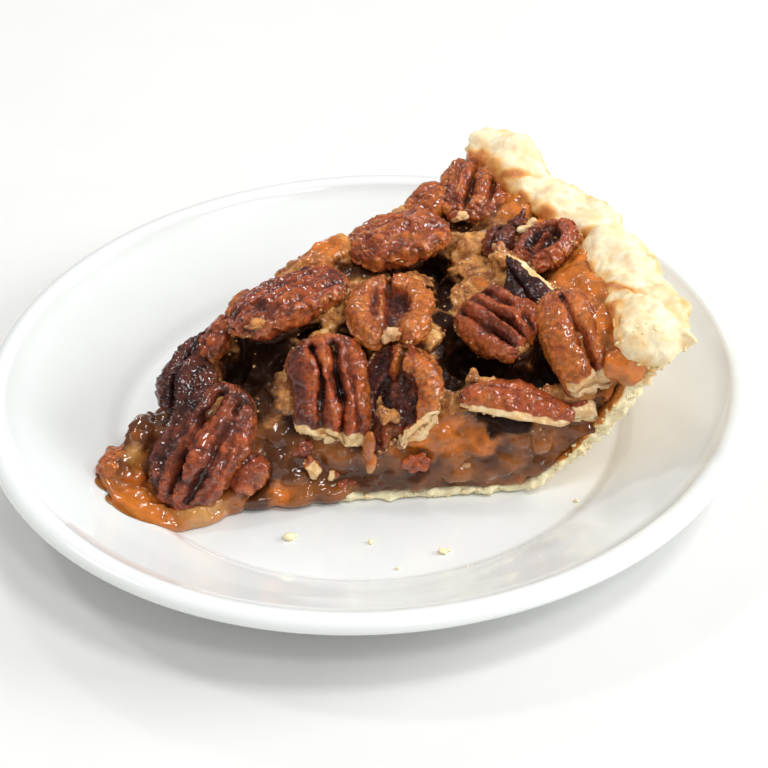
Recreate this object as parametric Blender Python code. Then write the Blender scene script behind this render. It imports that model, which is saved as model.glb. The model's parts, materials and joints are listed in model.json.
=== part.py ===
"""A slice of pecan pie on its own side plate.

Every size below is in millimetres and is turned into metres where a mesh is made.
The world's origin is on the table, under the middle of the plate.
The slice has a frame of its own: its origin is where the pie's centre was, on the plate's
floor, +X runs along the near cut and +Y across the slice to the far cut.
"""

import math

import bmesh
import bpy
from mathutils import Euler, Matrix, Vector

MM = 0.001
GAP = 0.3  # room left between two pieces that touch
NUT_GAP = 0.45  # room left round a nut

# Plate: a turned shape, radius and height above the table.
PLATE_RADIUS = 80.0
PLATE_TOP = 17.9
PLATE_WALL = 3.3
PLATE_STEPS = 48
FLOOR_TOP = 4.5
FLOOR_UNDER = 1.2
WELL_RADIUS = 52.7
RISER_WIDTH = 2.6
RISER_TOP = 6.7
RIM_BREAK = (74.7, 16.4)
BEAD_WIDTH = 5.3
FOOT_OUTER = 47.5
FOOT_INNER = 43.5

# Slice: where the pie's centre lies on the plate, and how the near cut is turned.
SLICE_PLACE = (-54.0, -27.5)
SLICE_TURN = 1.5
SLICE_ANGLE = 42.5
TIP_CUT = 10.0  # the slumped point of the slice, where the crust gives out
CRUST_FLOOR = 1.5
MID_FLOOR = 48.0

# Crust wall: radius from the pie's centre and height above the plate's floor.
CRUST_OUTSIDE = [(84.5, 0.0), (88.2, 1.8), (92.5, 6.0), (100.0, 14.5), (107.5, 25.0), (110.8, 30.2)]
CRUST_INSIDE = [(106.5, 30.6), (101.2, 25.0), (97.2, 17.4), (88.8, 6.2), (83.5, CRUST_FLOOR)]
CRUST_STEPS = 28
RIM_HEIGHT = 33.4
RIM_NEAR = (102.8, 118.4)  # inner and outer edge of the rim at the near cut
RIM_FAR = (108.4, 118.8)  # and at the far cut
RIM_HALF_HEIGHT = 3.6
RIM_POINTS = 8
# Each pinched lobe of the rim: its middle angle, half angle, extra height and extra width.
RIM_LOBES = [(4.2, 6.2, 1.0, 0.6), (16.0, 5.6, 0.8, 0.0), (27.0, 6.6, 0.2, 0.6), (38.5, 6.0, 3.2, 0.4)]

# Filling: its level top, and the near cut that has slumped to a slope.
FILLING_TOP = 29.5
FILLING_STEPS = 14
FILLING_REACH = [101.6, 96.0, 90.0, 83.0, 76.0, 69.0, 62.0, 55.0, 48.0, 41.0, 34.0, 27.0, 20.0, 14.0]
SLUMP_SLOPE = 1.35
FAR_CUT_BULGE = 2.6  # how far the far cut has sagged out past its straight plane
# Height of the near cut's edge at each distance along it.
CUT_EDGE = [(8.0, 2.0), (16.0, 3.4), (28.0, 8.5), (46.0, 11.0), (60.0, 11.5), (72.0, 19.0), (84.0, 26.0), (104.0, 28.5)]
TIP_RISE = [(8.0, 3.0), (16.0, 11.0), (26.0, 19.0), (42.0, 27.5), (60.0, FILLING_TOP), (104.0, FILLING_TOP + 0.5)]

# Caramel that ran out round the point of the slice, thicker on the far side.
OOZE_MIDDLE = (11.0, 3.2)
OOZE_RADIUS = 13.2
OOZE_HEIGHT = 4.2
OOZE_RISE = 0.42
OOZE_UNDER = 1.5  # how far it is carried into the plate before the plate is cut from it
OOZE_POINTS = 24
ROOM_TURNS = (-2.0, SLICE_ANGLE + 9.0)  # the room that the slice itself takes out of the caramel

# A whole half nut, and a small piece under SMALL_PIECE long: points round it and rings along it.
PECAN_GRID = (16, 7)
PIECE_GRID = (10, 5)
SMALL_PIECE = 13.0


def material(name, colour, roughness, metallic=0.0):
    made = bpy.data.materials.new(name)
    made.use_nodes = True
    shader = made.node_tree.nodes["Principled BSDF"]
    shader.inputs["Base Color"].default_value = (*colour, 1.0)
    shader.inputs["Roughness"].default_value = roughness
    shader.inputs["Metallic"].default_value = metallic
    return made


def new_object(name, bm, finish):
    """Closes the bmesh into an object of its own, with its faces turned out."""
    bmesh.ops.recalc_face_normals(bm, faces=bm.faces)
    mesh = bpy.data.meshes.new(name)
    bm.to_mesh(mesh)
    bm.free()
    mesh.materials.append(finish)
    mesh.shade_smooth()
    mesh.set_sharp_from_angle(angle=math.radians(35))
    made = bpy.data.objects.new(name, mesh)
    bpy.context.collection.objects.link(made)
    return made


def on_line(points, at):
    """Height of an open outline of (place, height) points at a place along it."""
    if at <= points[0][0]:
        return points[0][1]
    for (x0, z0), (x1, z1) in zip(points, points[1:]):
        if at <= x1:
            share = (at - x0) / (x1 - x0)
            share = share * share * (3 - 2 * share)
            return z0 + (z1 - z0) * share
    return points[-1][1]


def loft(bm, loops):
    """Joins equal closed loops of points into one skin and closes both ends."""
    rings = [[bm.verts.new(Vector(point) * MM) for point in loop] for loop in loops]
    count = len(rings[0])
    for ring, after in zip(rings, rings[1:]):
        for i in range(count):
            j = (i + 1) % count
            bm.faces.new((ring[i], ring[j], after[j], after[i]))
    bm.faces.new(rings[0])
    bm.faces.new(rings[-1])


# ------------------------------------------------------------------ plate
def plate_top_outline():
    """Radius and height of the upper side: the floor's edge, the riser and the sloping rim."""
    riser = (WELL_RADIUS + RISER_WIDTH, RISER_TOP)
    middle = ((riser[0] + RIM_BREAK[0]) / 2, (riser[1] + RIM_BREAK[1]) / 2 - 0.3)
    return [(WELL_RADIUS, FLOOR_TOP), riser, middle, RIM_BREAK]


def plate_outline():
    """The turned outline from the floor's edge over the rim to the foot and the recess in it."""
    outline = plate_top_outline()
    riser = outline[1]
    bead = (PLATE_RADIUS - BEAD_WIDTH / 2, PLATE_TOP - PLATE_WALL / 2)
    for step in range(6):
        turn = math.radians(140 - 220 * step / 5)
        outline.append((bead[0] + BEAD_WIDTH / 2 * math.cos(turn), bead[1] + PLATE_WALL / 2 * math.sin(turn)))
    outline += [(RIM_BREAK[0] + 0.6, RIM_BREAK[1] - PLATE_WALL)]
    outline += [(riser[0] + 1.5, riser[1] - PLATE_WALL + 0.4), (FOOT_OUTER + 0.8, FLOOR_UNDER + 0.9)]
    outline += [(FOOT_OUTER, 0.0), (FOOT_INNER, 0.0), (FOOT_INNER - 1.2, FLOOR_UNDER)]
    return outline


def make_plate():
    bm = bmesh.new()
    outline = plate_outline()
    rings = []
    for step in range(PLATE_STEPS):
        turn = math.tau * step / PLATE_STEPS
        spoke = [(r * math.cos(turn), r * math.sin(turn), z) for r, z in outline]
        rings.append([bm.verts.new(Vector(point) * MM) for point in spoke])
    for step in range(PLATE_STEPS):
        ring, after = rings[step], rings[(step + 1) % PLATE_STEPS]
        for i in range(len(outline) - 1):
            bm.faces.new((ring[i], ring[i + 1], after[i + 1], after[i]))
    for end in (0, -1):
        bm.faces.new([ring[end] for ring in rings])
    return new_object("plate", bm, material("white glaze", (0.86, 0.87, 0.85), 0.16))


# ------------------------------------------------------------------ crust
def lobe_at(angle):
    """How far the rim stands up and out at an angle: full on a lobe, none in a crease."""
    lift = swell = -0.6
    for middle, half, height, width in RIM_LOBES:
        share = max(0.0, 1 - ((angle - middle) / half) ** 2) ** 0.5
        lift = max(lift, share * (height + 0.6) - 0.6)
        swell = max(swell, share * (width + 0.6) - 0.6)
    return lift, swell


def crust_loop(angle):
    """The crust's section at one angle: up the outside, over the rim, down the inside."""
    lift, swell = lobe_at(angle)
    share = angle / SLICE_ANGLE
    inner, outer = (near + (far - near) * share for near, far in zip(RIM_NEAR, RIM_FAR))
    middle, half = (inner + outer) / 2, (outer - inner) / 2 + swell
    top = RIM_HEIGHT + lift * 0.5
    section = [(TIP_CUT, 0.0), (MID_FLOOR, 0.0)] + CRUST_OUTSIDE
    section.append((middle + half * 0.55, RIM_HEIGHT - 1.4))
    for step in range(RIM_POINTS):
        turn = math.radians(-12 + 190 * step / (RIM_POINTS - 1))
        section.append((middle + half * math.cos(turn), top + (RIM_HALF_HEIGHT + lift * 0.5) * math.sin(turn)))
    spread = (RIM_FAR[0] - RIM_NEAR[0]) * share
    section += [(CRUST_INSIDE[0][0] + spread * 0.5, CRUST_INSIDE[0][1])] + CRUST_INSIDE[1:]
    section += [(MID_FLOOR, CRUST_FLOOR), (TIP_CUT, CRUST_FLOOR)]
    turn = math.radians(angle)
    return [(r * math.cos(turn), r * math.sin(turn), z) for r, z in section]


def make_crust():
    bm = bmesh.new()
    loft(bm, [crust_loop(SLICE_ANGLE * step / CRUST_STEPS) for step in range(CRUST_STEPS + 1)])
    return new_object("crust", bm, material("baked pastry", (0.80, 0.58, 0.30), 0.7))


# ------------------------------------------------------------------ filling
def filling_height(x, y):
    """Top of the filling: level, low at the point, and slumped along the near cut."""
    reach = math.hypot(x, y)
    level = on_line(TIP_RISE, reach)
    lumps = 0.9 * math.sin(x * 0.31 + 0.6) * math.cos(y * 0.37 + 0.4) * min(1.0, reach / 60)
    slope = on_line(CUT_EDGE, reach) + SLUMP_SLOPE * max(0.0, y)
    return max(CRUST_FLOOR + 1.0, min(level + lumps, slope))


def far_bulge(angle, reach):
    """Sideways sag of the far cut, none at the point and none at the crust."""
    share = max(0.0, angle / SLICE_ANGLE - 0.7) / 0.3
    return FAR_CUT_BULGE * share * math.sin(math.pi * min(1.0, reach / 98.0)) ** 0.7


def filling_loop(angle):
    turn = math.radians(angle)
    bottom = CRUST_FLOOR + GAP
    wall = [(r - GAP * 1.25, z + GAP * 0.4) for r, z in reversed(CRUST_INSIDE[1:-1])]
    section = [(TIP_CUT, bottom), (MID_FLOOR, bottom), (83.0, bottom)] + wall
    section = [(r * math.cos(turn), r * math.sin(turn), z) for r, z in section]
    for reach in FILLING_REACH + [TIP_CUT]:
        sag = far_bulge(angle, reach)
        x = reach * math.cos(turn) - sag * math.sin(turn)
        y = reach * math.sin(turn) + sag * math.cos(turn)
        section.append((x, y, filling_height(x, y)))
    return section


def make_filling():
    bm = bmesh.new()
    loft(bm, [filling_loop(SLICE_ANGLE * step / FILLING_STEPS) for step in range(FILLING_STEPS + 1)])
    return new_object("filling", bm, material("caramel custard", (0.36, 0.13, 0.03), 0.3))


def plate_level(x, y):
    """Height of the plate's upper side under a point of the slice's frame."""
    turn = math.radians(SLICE_TURN)
    across = SLICE_PLACE[0] + x * math.cos(turn) - y * math.sin(turn)
    along = SLICE_PLACE[1] + x * math.sin(turn) + y * math.cos(turn)
    reach = math.hypot(across, along)
    outline = plate_top_outline()
    if reach <= outline[0][0]:
        return 0.0
    for (r0, z0), (r1, z1) in zip(outline, outline[1:]):
        if reach <= r1:
            return z0 + (z1 - z0) * (reach - r0) / (r1 - r0) - FLOOR_TOP
    return outline[-1][1] - FLOOR_TOP


def ooze_ring(share, height):
    ring = []
    for step in range(OOZE_POINTS):
        turn = math.tau * step / OOZE_POINTS
        reach = OOZE_RADIUS * (1 + 0.07 * math.sin(2 * turn + 2.2) + 0.05 * math.sin(3 * turn - 0.7))
        x = OOZE_MIDDLE[0] + share * reach * math.cos(turn)
        y = OOZE_MIDDLE[1] + share * reach * math.sin(turn)
        full = OOZE_HEIGHT + OOZE_RISE * max(0.0, y - OOZE_MIDDLE[1])
        ring.append((x, y, plate_level(x, y) + (full * height if height > 0 else -OOZE_UNDER)))
    return ring


def make_ooze():
    """A low pool with a wavy edge that lies on the plate round the point."""
    bm = bmesh.new()
    sections = [(0.45, 0.93), (0.75, 0.76), (0.93, 0.48), (1.0, 0.15), (0.95, 0), (0.6, 0), (0.25, 0)]
    rings = [[bm.verts.new(Vector(point) * MM) for point in ooze_ring(*section)] for section in sections]
    for ring, after in zip(rings, rings[1:]):
        for i in range(OOZE_POINTS):
            j = (i + 1) % OOZE_POINTS
            bm.faces.new((ring[i], ring[j], after[j], after[i]))
    bm.faces.new(rings[0])
    bm.faces.new(rings[-1])
    return new_object("caramel_ooze", bm, material("clear caramel", (0.62, 0.20, 0.02), 0.1))


# ------------------------------------------------------------------ pecans
# Name, middle (x, y, z in the slice's frame), size (length, width, thickness),
# turns (heading of the long axis, its pitch, and roll about it: 180 shows the flat side),
# and where the far and near ends are broken off, as shares of half the length.
PECANS = [
    ("pecan_01", (21.0, 3.4, 11.6), (28.0, 18.5, 7.5), (48, 38, 8), (1.0, 1.0)),
    ("pecan_02", (18.4, 16.4, 19.0), (16.0, 14.0, 8.0), (62, 20, -10), (1.0, 1.0)),
    ("pecan_03", (39.0, 25.4, 30.6), (26.5, 16.5, 7.0), (27, 10, -12), (1.0, 1.0)),
    ("pecan_04", (60.0, 20.6, 30.6), (24.0, 19.0, 6.5), (88, 8, 180), (1.0, 1.0)),
    ("pecan_05", (46.6, 6.2, 21.4), (25.0, 17.0, 7.5), (97, 52, -4), (1.0, 0.86)),
    ("pecan_06", (60.6, 3.4, 20.2), (22.0, 17.0, 6.5), (74, 54, 170), (1.0, 0.9)),
    ("pecan_07", (62.6, 44.2, 32.4), (22.5, 18.0, 7.0), (20, 6, -8), (1.0, 1.0)),
    ("pecan_08", (80.6, 61.4, 33.0), (19.5, 16.0, 7.0), (72, 12, 4), (1.0, 1.0)),
    ("pecan_09", (70.2, 59.6, 30.6), (12.0, 9.0, 7.0), (36, 20, 0), (1.0, 1.0)),
    ("pecan_10", (81.0, 14.0, 29.8), (22.0, 15.5, 7.5), (-50, -4, 20), (1.0, 0.92)),
    ("pecan_11", (86.2, 25.6, 32.6), (15.0, 9.0, 6.0), (-58, -34, 30), (0.7, 1.0)),
    ("pecan_12", (92.6, 36.0, 31.4), (16.0, 10.5, 7.0), (48, 6, 25), (1.0, 1.0)),
    ("pecan_13", (82.8, 43.6, 31.4), (13.5, 9.5, 6.5), (60, 8, 0), (1.0, 1.0)),
    ("pecan_14", (96.9, 7.3, 29.0), (22.0, 13.4, 7.0), (-62, -23, 6), (0.84, 1.0)),
    ("pecan_15", (83.0, -1.0, 22.0), (23.5, 9.5, 6.5), (-12, 6, 40), (1.0, 1.0)),
    ("pecan_16", (97.2, 1.0, 17.0), (8.0, 7.0, 5.0), (-20, 12, 20), (0.8, 0.8)),
    ("pecan_17", (30.4, 28.8, 27.4), (8.0, 6.5, 5.0), (44, 26, 0), (1.0, 1.0)),
    ("pecan_18", (25.4, 22.0, 23.4), (10.0, 8.0, 5.5), (24, 16, 0), (1.0, 1.0)),
    ("pecan_19", (79.0, 0.6, 6.4), (12.0, 5.5, 5.0), (-4, 8, 0), (0.9, 1.0)),
    ("pecan_20", (2.0, 7.0, 6.2), (8.5, 6.5, 4.5), (40, 14, 0), (1.0, 1.0)),
    ("pecan_21", (29.6, -0.8, 7.4), (9.5, 7.0, 5.5), (34, 34, 0), (1.0, 1.0)),
]


def pecan_section(turn, share):
    """Unit section of a half nut: two furrows on the rounded back, a slot in the flat side."""
    across = math.cos(turn)
    up = math.sin(turn)
    furrow = 0.34 * math.exp(-(((abs(across) - 0.38) / 0.12) ** 2))
    slot = 0.6 * math.exp(-((across / 0.16) ** 2))
    if up > 0:
        return across, up * (1 - furrow * share)
    return across, 0.55 * up * (1 - slot * share)


def pecan_rings(size, ends, grid, grow):
    """Closed sections from the near end of a nut to its far end, a single point at a whole end."""
    length, width, thickness = (side + 2 * grow for side in size)
    near, far = -ends[1], ends[0]
    rings = []
    for ring in range(grid[1] + 1):
        place = near + (far - near) * (0.5 - 0.5 * math.cos(math.pi * ring / grid[1]))
        half = math.sqrt(max(0.0, 1 - abs(place) ** 2.5))
        if half < 0.01:
            rings.append([(place * length / 2, 0, 0)])
            continue
        loop = []
        for step in range(grid[0]):
            across, up = pecan_section(math.tau * step / grid[0], min(1.0, half * 1.3))
            loop.append((place * length / 2, across * half * width / 2, up * half * thickness * 0.62))
        rings.append(loop)
    return rings


def pecan_skin(bm, size, ends, grow):
    """Joins a nut's sections, closed flat where an end is broken off."""
    grid = PIECE_GRID if size[0] < SMALL_PIECE else PECAN_GRID
    skin = [[bm.verts.new(Vector(point) * MM) for point in ring] for ring in pecan_rings(size, ends, grid, grow)]
    for ring, after in zip(skin, skin[1:]):
        for i in range(grid[0]):
            j = (i + 1) % grid[0]
            corners = [ring[i % len(ring)], ring[j % len(ring)], after[j % len(after)], after[i % len(after)]]
            bm.faces.new(list(dict.fromkeys(corners)))
    for ring in (skin[0], skin[-1]):
        if len(ring) > 1:
            bm.faces.new(ring)


def pecan_place(middle, turns):
    heading, pitch, roll = (math.radians(turn) for turn in turns)
    return Matrix.Translation(Vector(middle) * MM) @ Euler((roll, -pitch, heading), "XYZ").to_matrix().to_4x4()


def make_pecan(name, middle, size, turns, ends, finish, grow=0.0):
    bm = bmesh.new()
    pecan_skin(bm, size, ends, grow)
    bm.transform(pecan_place(middle, turns))
    return new_object(name, bm, finish)


# ------------------------------------------------------------------ fitting together
def hide(cutter):
    cutter.hide_render = True
    cutter.display_type = "WIRE"


def cut(target, cutters):
    """Takes the room of all the cutters near the target out of it in one go."""
    rooms = bpy.data.collections.new("rooms in " + target.name)
    for cutter in cutters:
        if near_each_other(target, cutter):
            rooms.objects.link(cutter)
    if not rooms.objects:
        return
    taken = target.modifiers.new("rooms", "BOOLEAN")
    taken.operation = "DIFFERENCE"
    taken.operand_type = "COLLECTION"
    taken.collection = rooms


def near_each_other(one, other):
    lows = [min(corner[axis] for corner in one.bound_box) for axis in range(3)]
    highs = [max(corner[axis] for corner in one.bound_box) for axis in range(3)]
    for axis in range(3):
        if min(corner[axis] for corner in other.bound_box) > highs[axis]:
            return False
        if max(corner[axis] for corner in other.bound_box) < lows[axis]:
            return False
    return True


def make_room_of_slice():
    """A cutter a little larger than the crust and the filling, for the caramel round the point."""
    bm = bmesh.new()
    loops = []
    for step in range(7):
        turn = math.radians(ROOM_TURNS[0] + (ROOM_TURNS[1] - ROOM_TURNS[0]) * step / 6)
        section = [(TIP_CUT - GAP, -1.0), (60.0, -1.0), (60.0, 40.0), (TIP_CUT - GAP, 40.0)]
        loops.append([(r * math.cos(turn), r * math.sin(turn), z) for r, z in section])
    loft(bm, loops)
    room = new_object("slice_room", bm, material("room", (0.5, 0.5, 0.5), 0.5))
    hide(room)
    return room


def make_slice(plate_room):
    skin = material("pecan skin", (0.28, 0.08, 0.03), 0.35)
    crust, filling, ooze = make_crust(), make_filling(), make_ooze()
    pecans, rooms = [], []
    for name, middle, size, turns, ends in PECANS:
        pecan = make_pecan(name, middle, size, turns, ends, skin)
        room = make_pecan(name + "_room", middle, size, turns, ends, skin, NUT_GAP)
        hide(room)
        cut(pecan, rooms)
        pecans.append(pecan)
        rooms.append(room)
    for piece in (crust, filling):
        cut(piece, rooms)
    rooms.append(make_room_of_slice())
    cut(ooze, rooms)
    taken = ooze.modifiers.new("plate", "BOOLEAN")
    taken.operation = "DIFFERENCE"
    taken.object = plate_room
    return [crust, filling, ooze] + pecans + rooms


def main():
    for old in list(bpy.data.objects):
        bpy.data.objects.remove(old)
    plate = make_plate()
    plate_room = bpy.data.objects.new("plate_room", plate.data)
    bpy.context.collection.objects.link(plate_room)
    plate_room.location = (0, 0, GAP * MM)
    hide(plate_room)
    place = bpy.data.objects.new("slice place", None)
    bpy.context.collection.objects.link(place)
    place.location = Vector((*SLICE_PLACE, FLOOR_TOP + GAP)) * MM
    place.rotation_euler = (0, 0, math.radians(SLICE_TURN))
    for piece in make_slice(plate_room):
        piece.parent = place


main()
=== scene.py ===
"""A slice of pecan pie on its white side plate, laid out as an add-on and run as a script.

Lengths in this file are millimetres unless a property has a unit of its own.
Most shapes are worked out in the slice's frame: its origin is where the pie's centre was, on
the plate's floor, +X runs along the near cut and +Y across the slice to the far cut.
"""

import json
import math

import bmesh
import bpy
import numpy as np
from bpy.props import FloatProperty, FloatVectorProperty, IntProperty, PointerProperty
from mathutils import Euler, Matrix, Vector, noise

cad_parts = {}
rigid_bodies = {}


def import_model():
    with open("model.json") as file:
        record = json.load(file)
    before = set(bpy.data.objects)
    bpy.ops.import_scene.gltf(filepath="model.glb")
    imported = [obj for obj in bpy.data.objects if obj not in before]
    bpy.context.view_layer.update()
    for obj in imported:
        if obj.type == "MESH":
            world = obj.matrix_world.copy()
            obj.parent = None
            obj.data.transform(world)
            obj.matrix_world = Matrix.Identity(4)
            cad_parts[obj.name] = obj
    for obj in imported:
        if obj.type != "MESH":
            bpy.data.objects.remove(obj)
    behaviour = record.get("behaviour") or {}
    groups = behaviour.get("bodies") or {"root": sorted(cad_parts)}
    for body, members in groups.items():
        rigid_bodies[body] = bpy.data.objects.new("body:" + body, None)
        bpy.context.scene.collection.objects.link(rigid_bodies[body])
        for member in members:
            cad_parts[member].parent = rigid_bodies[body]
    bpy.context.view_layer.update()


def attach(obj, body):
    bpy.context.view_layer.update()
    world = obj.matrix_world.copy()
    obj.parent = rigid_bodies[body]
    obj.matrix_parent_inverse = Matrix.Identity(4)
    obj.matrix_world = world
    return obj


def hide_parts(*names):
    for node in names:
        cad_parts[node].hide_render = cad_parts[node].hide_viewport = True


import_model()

bl_info = {
    "name": "Pecan pie slice",
    "version": (1, 0, 0),
    "blender": (4, 5, 0),
    "location": "3D View > Sidebar > Pie",
    "description": "Builds a slice of pecan pie on a plate, piece by piece",
    "category": "Add Mesh",
}

MM = 0.001
BODY = "root"

# Where the slice lies on the plate.
SLICE_PLACE = (-54.0, -27.5)
SLICE_LIFT = 4.8
SLICE_TURN = math.radians(1.5)
SLICE_ANGLE = 42.5

# Plate: radius and height of its turned outline above the table.
PLATE_FLOOR = 4.5
WELL_RADIUS = 52.7
RISER = (55.3, 6.7)
RIM_BREAK = (74.7, 16.4)
BEAD = (77.35, 16.25)
BEAD_HALF = (2.65, 1.65)
PLATE_UNDER = 3.3

# Crust: radius from the pie's centre and height.
CRUST_FLOOR = 1.5
TIP_CUT = 10.0
CRUST_OUTSIDE = [
    (48.0, 0.0), (84.5, 0.0), (88.6, 1.6), (93.6, 5.6), (98.4, 10.2), (103.2, 15.8), (106.8, 20.8), (109.4, 25.8),
    (112.0, 30.0),
]
CRUST_INSIDE = [
    (105.2, 26.0), (102.0, 20.8), (98.8, 15.4), (94.2, 9.6), (89.6, 5.0), (84.5, CRUST_FLOOR), (48.0, CRUST_FLOOR),
]
RIM_HEIGHT = 33.4
RIM_HALF_HEIGHT = 3.6
RIM_NEAR = (101.6, 117.6)
RIM_FAR = (105.2, 118.8)
# Each pinched lobe of the rim: its middle angle, half angle, extra height and extra width.
RIM_LOBES = [(2.4, 5.2, 2.4, 0.6), (14.0, 6.6, 0.8, 0.2), (27.0, 6.4, 0.4, 1.0), (38.4, 5.2, 3.8, 1.4)]

# Creases between the lobes: angle at the inner edge, how far they slant outwards, and depth.
RIM_CREASES = [(10.6, -6.0, 3.2), (21.0, -1.0, 1.7), (34.8, -3.2, 2.2)]

# Filling: its top, the slumped edge of the near cut and the far cut's sag.
FILLING_TOP = 29.5
FILLING_WALL = [(84.0, 1.8), (89.3, 5.3), (94.0, 9.9), (98.6, 15.7), (101.8, 21.1), (104.6, 26.2), (106.5, 31.4)]
CUT_EDGE = [(8.0, 2.0), (16.0, 3.4), (28.0, 8.5), (46.0, 11.0), (60.0, 11.5), (72.0, 19.0), (84.0, 23.0), (92.0, 20.5), (99.0, 21.0), (103.0, 27.0), (104.0, 28.5)]
TIP_RISE = [(8.0, 3.0), (16.0, 11.0), (26.0, 19.0), (42.0, 27.5), (60.0, FILLING_TOP), (104.0, FILLING_TOP + 0.5)]
SLUMP_SLOPE = 1.35
FAR_CUT_BULGE = 2.6


# ------------------------------------------------------------------ points and meshes
def on_plate(points):
    """Points of the slice's frame, in millimetres, as world points in metres."""
    points = np.asarray(points, float)
    x, y = points[:, 0], points[:, 1]
    across = SLICE_PLACE[0] + x * math.cos(SLICE_TURN) - y * math.sin(SLICE_TURN)
    along = SLICE_PLACE[1] + x * math.sin(SLICE_TURN) + y * math.cos(SLICE_TURN)
    return np.column_stack((across, along, SLICE_LIFT + points[:, 2])) * MM


def in_slice(points):
    """World points in metres as points of the slice's frame, in millimetres."""
    x = points[:, 0] / MM - SLICE_PLACE[0]
    y = points[:, 1] / MM - SLICE_PLACE[1]
    along = x * math.cos(SLICE_TURN) + y * math.sin(SLICE_TURN)
    across = y * math.cos(SLICE_TURN) - x * math.sin(SLICE_TURN)
    return np.column_stack((along, across, points[:, 2] / MM - SLICE_LIFT))


def closed_mesh(points, faces):
    """A mesh of points in metres with its faces turned out."""
    mesh = bpy.data.meshes.new("shape")
    mesh.from_pydata(np.asarray(points).tolist(), [], faces)
    bm = bmesh.new()
    bm.from_mesh(mesh)
    bmesh.ops.recalc_face_normals(bm, faces=bm.faces)
    bm.to_mesh(mesh)
    bm.free()
    return mesh


def tube_faces(rings, count, first=0):
    """Quads between equal rings of points that are numbered one after another, open at both ends."""
    faces = []
    for ring in range(rings - 1):
        low, high = first + ring * count, first + (ring + 1) * count
        faces += [(low + i, low + (i + 1) % count, high + (i + 1) % count, high + i) for i in range(count)]
    return faces


def capped_faces(rings, count, first=0):
    """The same, with a flat face over each end."""
    last = first + (rings - 1) * count
    return tube_faces(rings, count, first) + [tuple(range(first, first + count)), tuple(range(last, last + count))]


def poled_faces(rings, count, first=0):
    """The same, with a point over each end, numbered after the rings."""
    last = first + (rings - 1) * count
    pole = last + count
    faces = tube_faces(rings, count, first)
    faces += [(pole, first + (i + 1) % count, first + i) for i in range(count)]
    faces += [(pole + 1, last + i, last + (i + 1) % count) for i in range(count)]
    return faces


def ball(middle, radii, heading=0.0, pitch=0.0, roll=0.0, rings=14, count=20):
    """Points of an ellipsoid with a point over each end, for poled_faces."""
    up = np.pi * (np.arange(rings) + 0.5) / rings
    round_it = math.tau * np.arange(count) / count
    up, round_it = np.meshgrid(up, round_it, indexing="ij")
    unit = np.column_stack(
        (np.cos(up).ravel(), (np.sin(up) * np.cos(round_it)).ravel(), (np.sin(up) * np.sin(round_it)).ravel())
    )
    unit = np.vstack((unit, [(1, 0, 0), (-1, 0, 0)]))
    turn = Euler((math.radians(roll), -math.radians(pitch), math.radians(heading)), "XYZ").to_matrix()
    return unit * radii @ np.array(turn).T + np.array(middle)


def points_of(mesh):
    flat = np.empty(len(mesh.vertices) * 3)
    mesh.vertices.foreach_get("co", flat)
    return flat.reshape(-1, 3)


def normals_of(mesh):
    flat = np.empty(len(mesh.vertices) * 3)
    mesh.vertex_normals.foreach_get("vector", flat)
    return flat.reshape(-1, 3)


def move_points(mesh, points):
    mesh.vertices.foreach_set("co", np.asarray(points, np.float32).ravel())
    mesh.update()


def mask_points(mesh, **masks):
    """Numbers from 0 to 1 at each point, for the materials to read by name."""
    for name, values in masks.items():
        layer = mesh.attributes.new(name, "FLOAT", "POINT")
        layer.data.foreach_set("value", np.clip(values, 0, 1).astype(np.float32))


def evened(mesh, voxel):
    """All the closed shells of a mesh as one skin of small even faces; voxel is in millimetres."""
    rough = bpy.data.objects.new("rough", mesh)
    bpy.context.scene.collection.objects.link(rough)
    remesh = rough.modifiers.new("even", "REMESH")
    remesh.mode = "VOXEL"
    remesh.voxel_size = voxel * MM
    graph = bpy.context.evaluated_depsgraph_get()
    done = bpy.data.meshes.new_from_object(rough.evaluated_get(graph))
    bpy.data.objects.remove(rough)
    bpy.data.meshes.remove(mesh)
    return done


def relax(mesh, times, share=0.5):
    """Draws each point towards its neighbours, which takes out the steps of the voxels."""
    ends = np.empty(len(mesh.edges) * 2, np.int64)
    mesh.edges.foreach_get("vertices", ends)
    ends = ends.reshape(-1, 2)
    points = points_of(mesh)
    count = np.maximum(np.bincount(ends.ravel(), minlength=len(points)), 1)[:, None]
    for _ in range(times):
        total = np.column_stack(
            [
                np.bincount(ends[:, 0], points[ends[:, 1], axis], len(points))
                + np.bincount(ends[:, 1], points[ends[:, 0], axis], len(points))
                for axis in range(3)
            ]
        )
        points += share * (total / count - points)
    move_points(mesh, points)


def largest_part(mesh):
    """Removes every loose shell but the largest."""
    bm = bmesh.new()
    bm.from_mesh(mesh)
    left = set(bm.verts)
    shells = []
    while left:
        front = [left.pop()]
        shell = list(front)
        while front:
            near = {edge.other_vert(vert) for vert in front for edge in vert.link_edges} & left
            left -= near
            front = list(near)
            shell += front
        shells.append(shell)
    shells.sort(key=len)
    bmesh.ops.delete(bm, geom=[vert for shell in shells[:-1] for vert in shell], context="VERTS")
    bm.to_mesh(mesh)
    bm.free()


def new_piece(name, mesh, finish, slot, *nodes):
    """Links a finished mesh as a smooth piece that rides on the body and stands for the nodes."""
    mesh.name = name
    mesh.materials.clear()
    mesh.materials.append(finish)
    mesh.shade_smooth()
    piece = bpy.data.objects.new(name, mesh)
    bpy.context.scene.collection.objects.link(piece)
    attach(piece, BODY)
    if nodes:
        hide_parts(*nodes)
    return piece


# ------------------------------------------------------------------ numbers over a surface
def grain(points, size, octaves=2, seed=0.0):
    """Smooth noise from about -1 to 1; size is a lump's width, or one width for each axis."""
    scaled = np.asarray(points) / size + seed * 17.31
    return np.array([noise.fractal(Vector(point), 1.0, 2.0, octaves) for point in scaled])


def creases(points, size, width, seed=0.0):
    """1 along thin winding lines and 0 between them."""
    return np.exp(-((grain(points, size, 1, seed) / width) ** 2))


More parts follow.
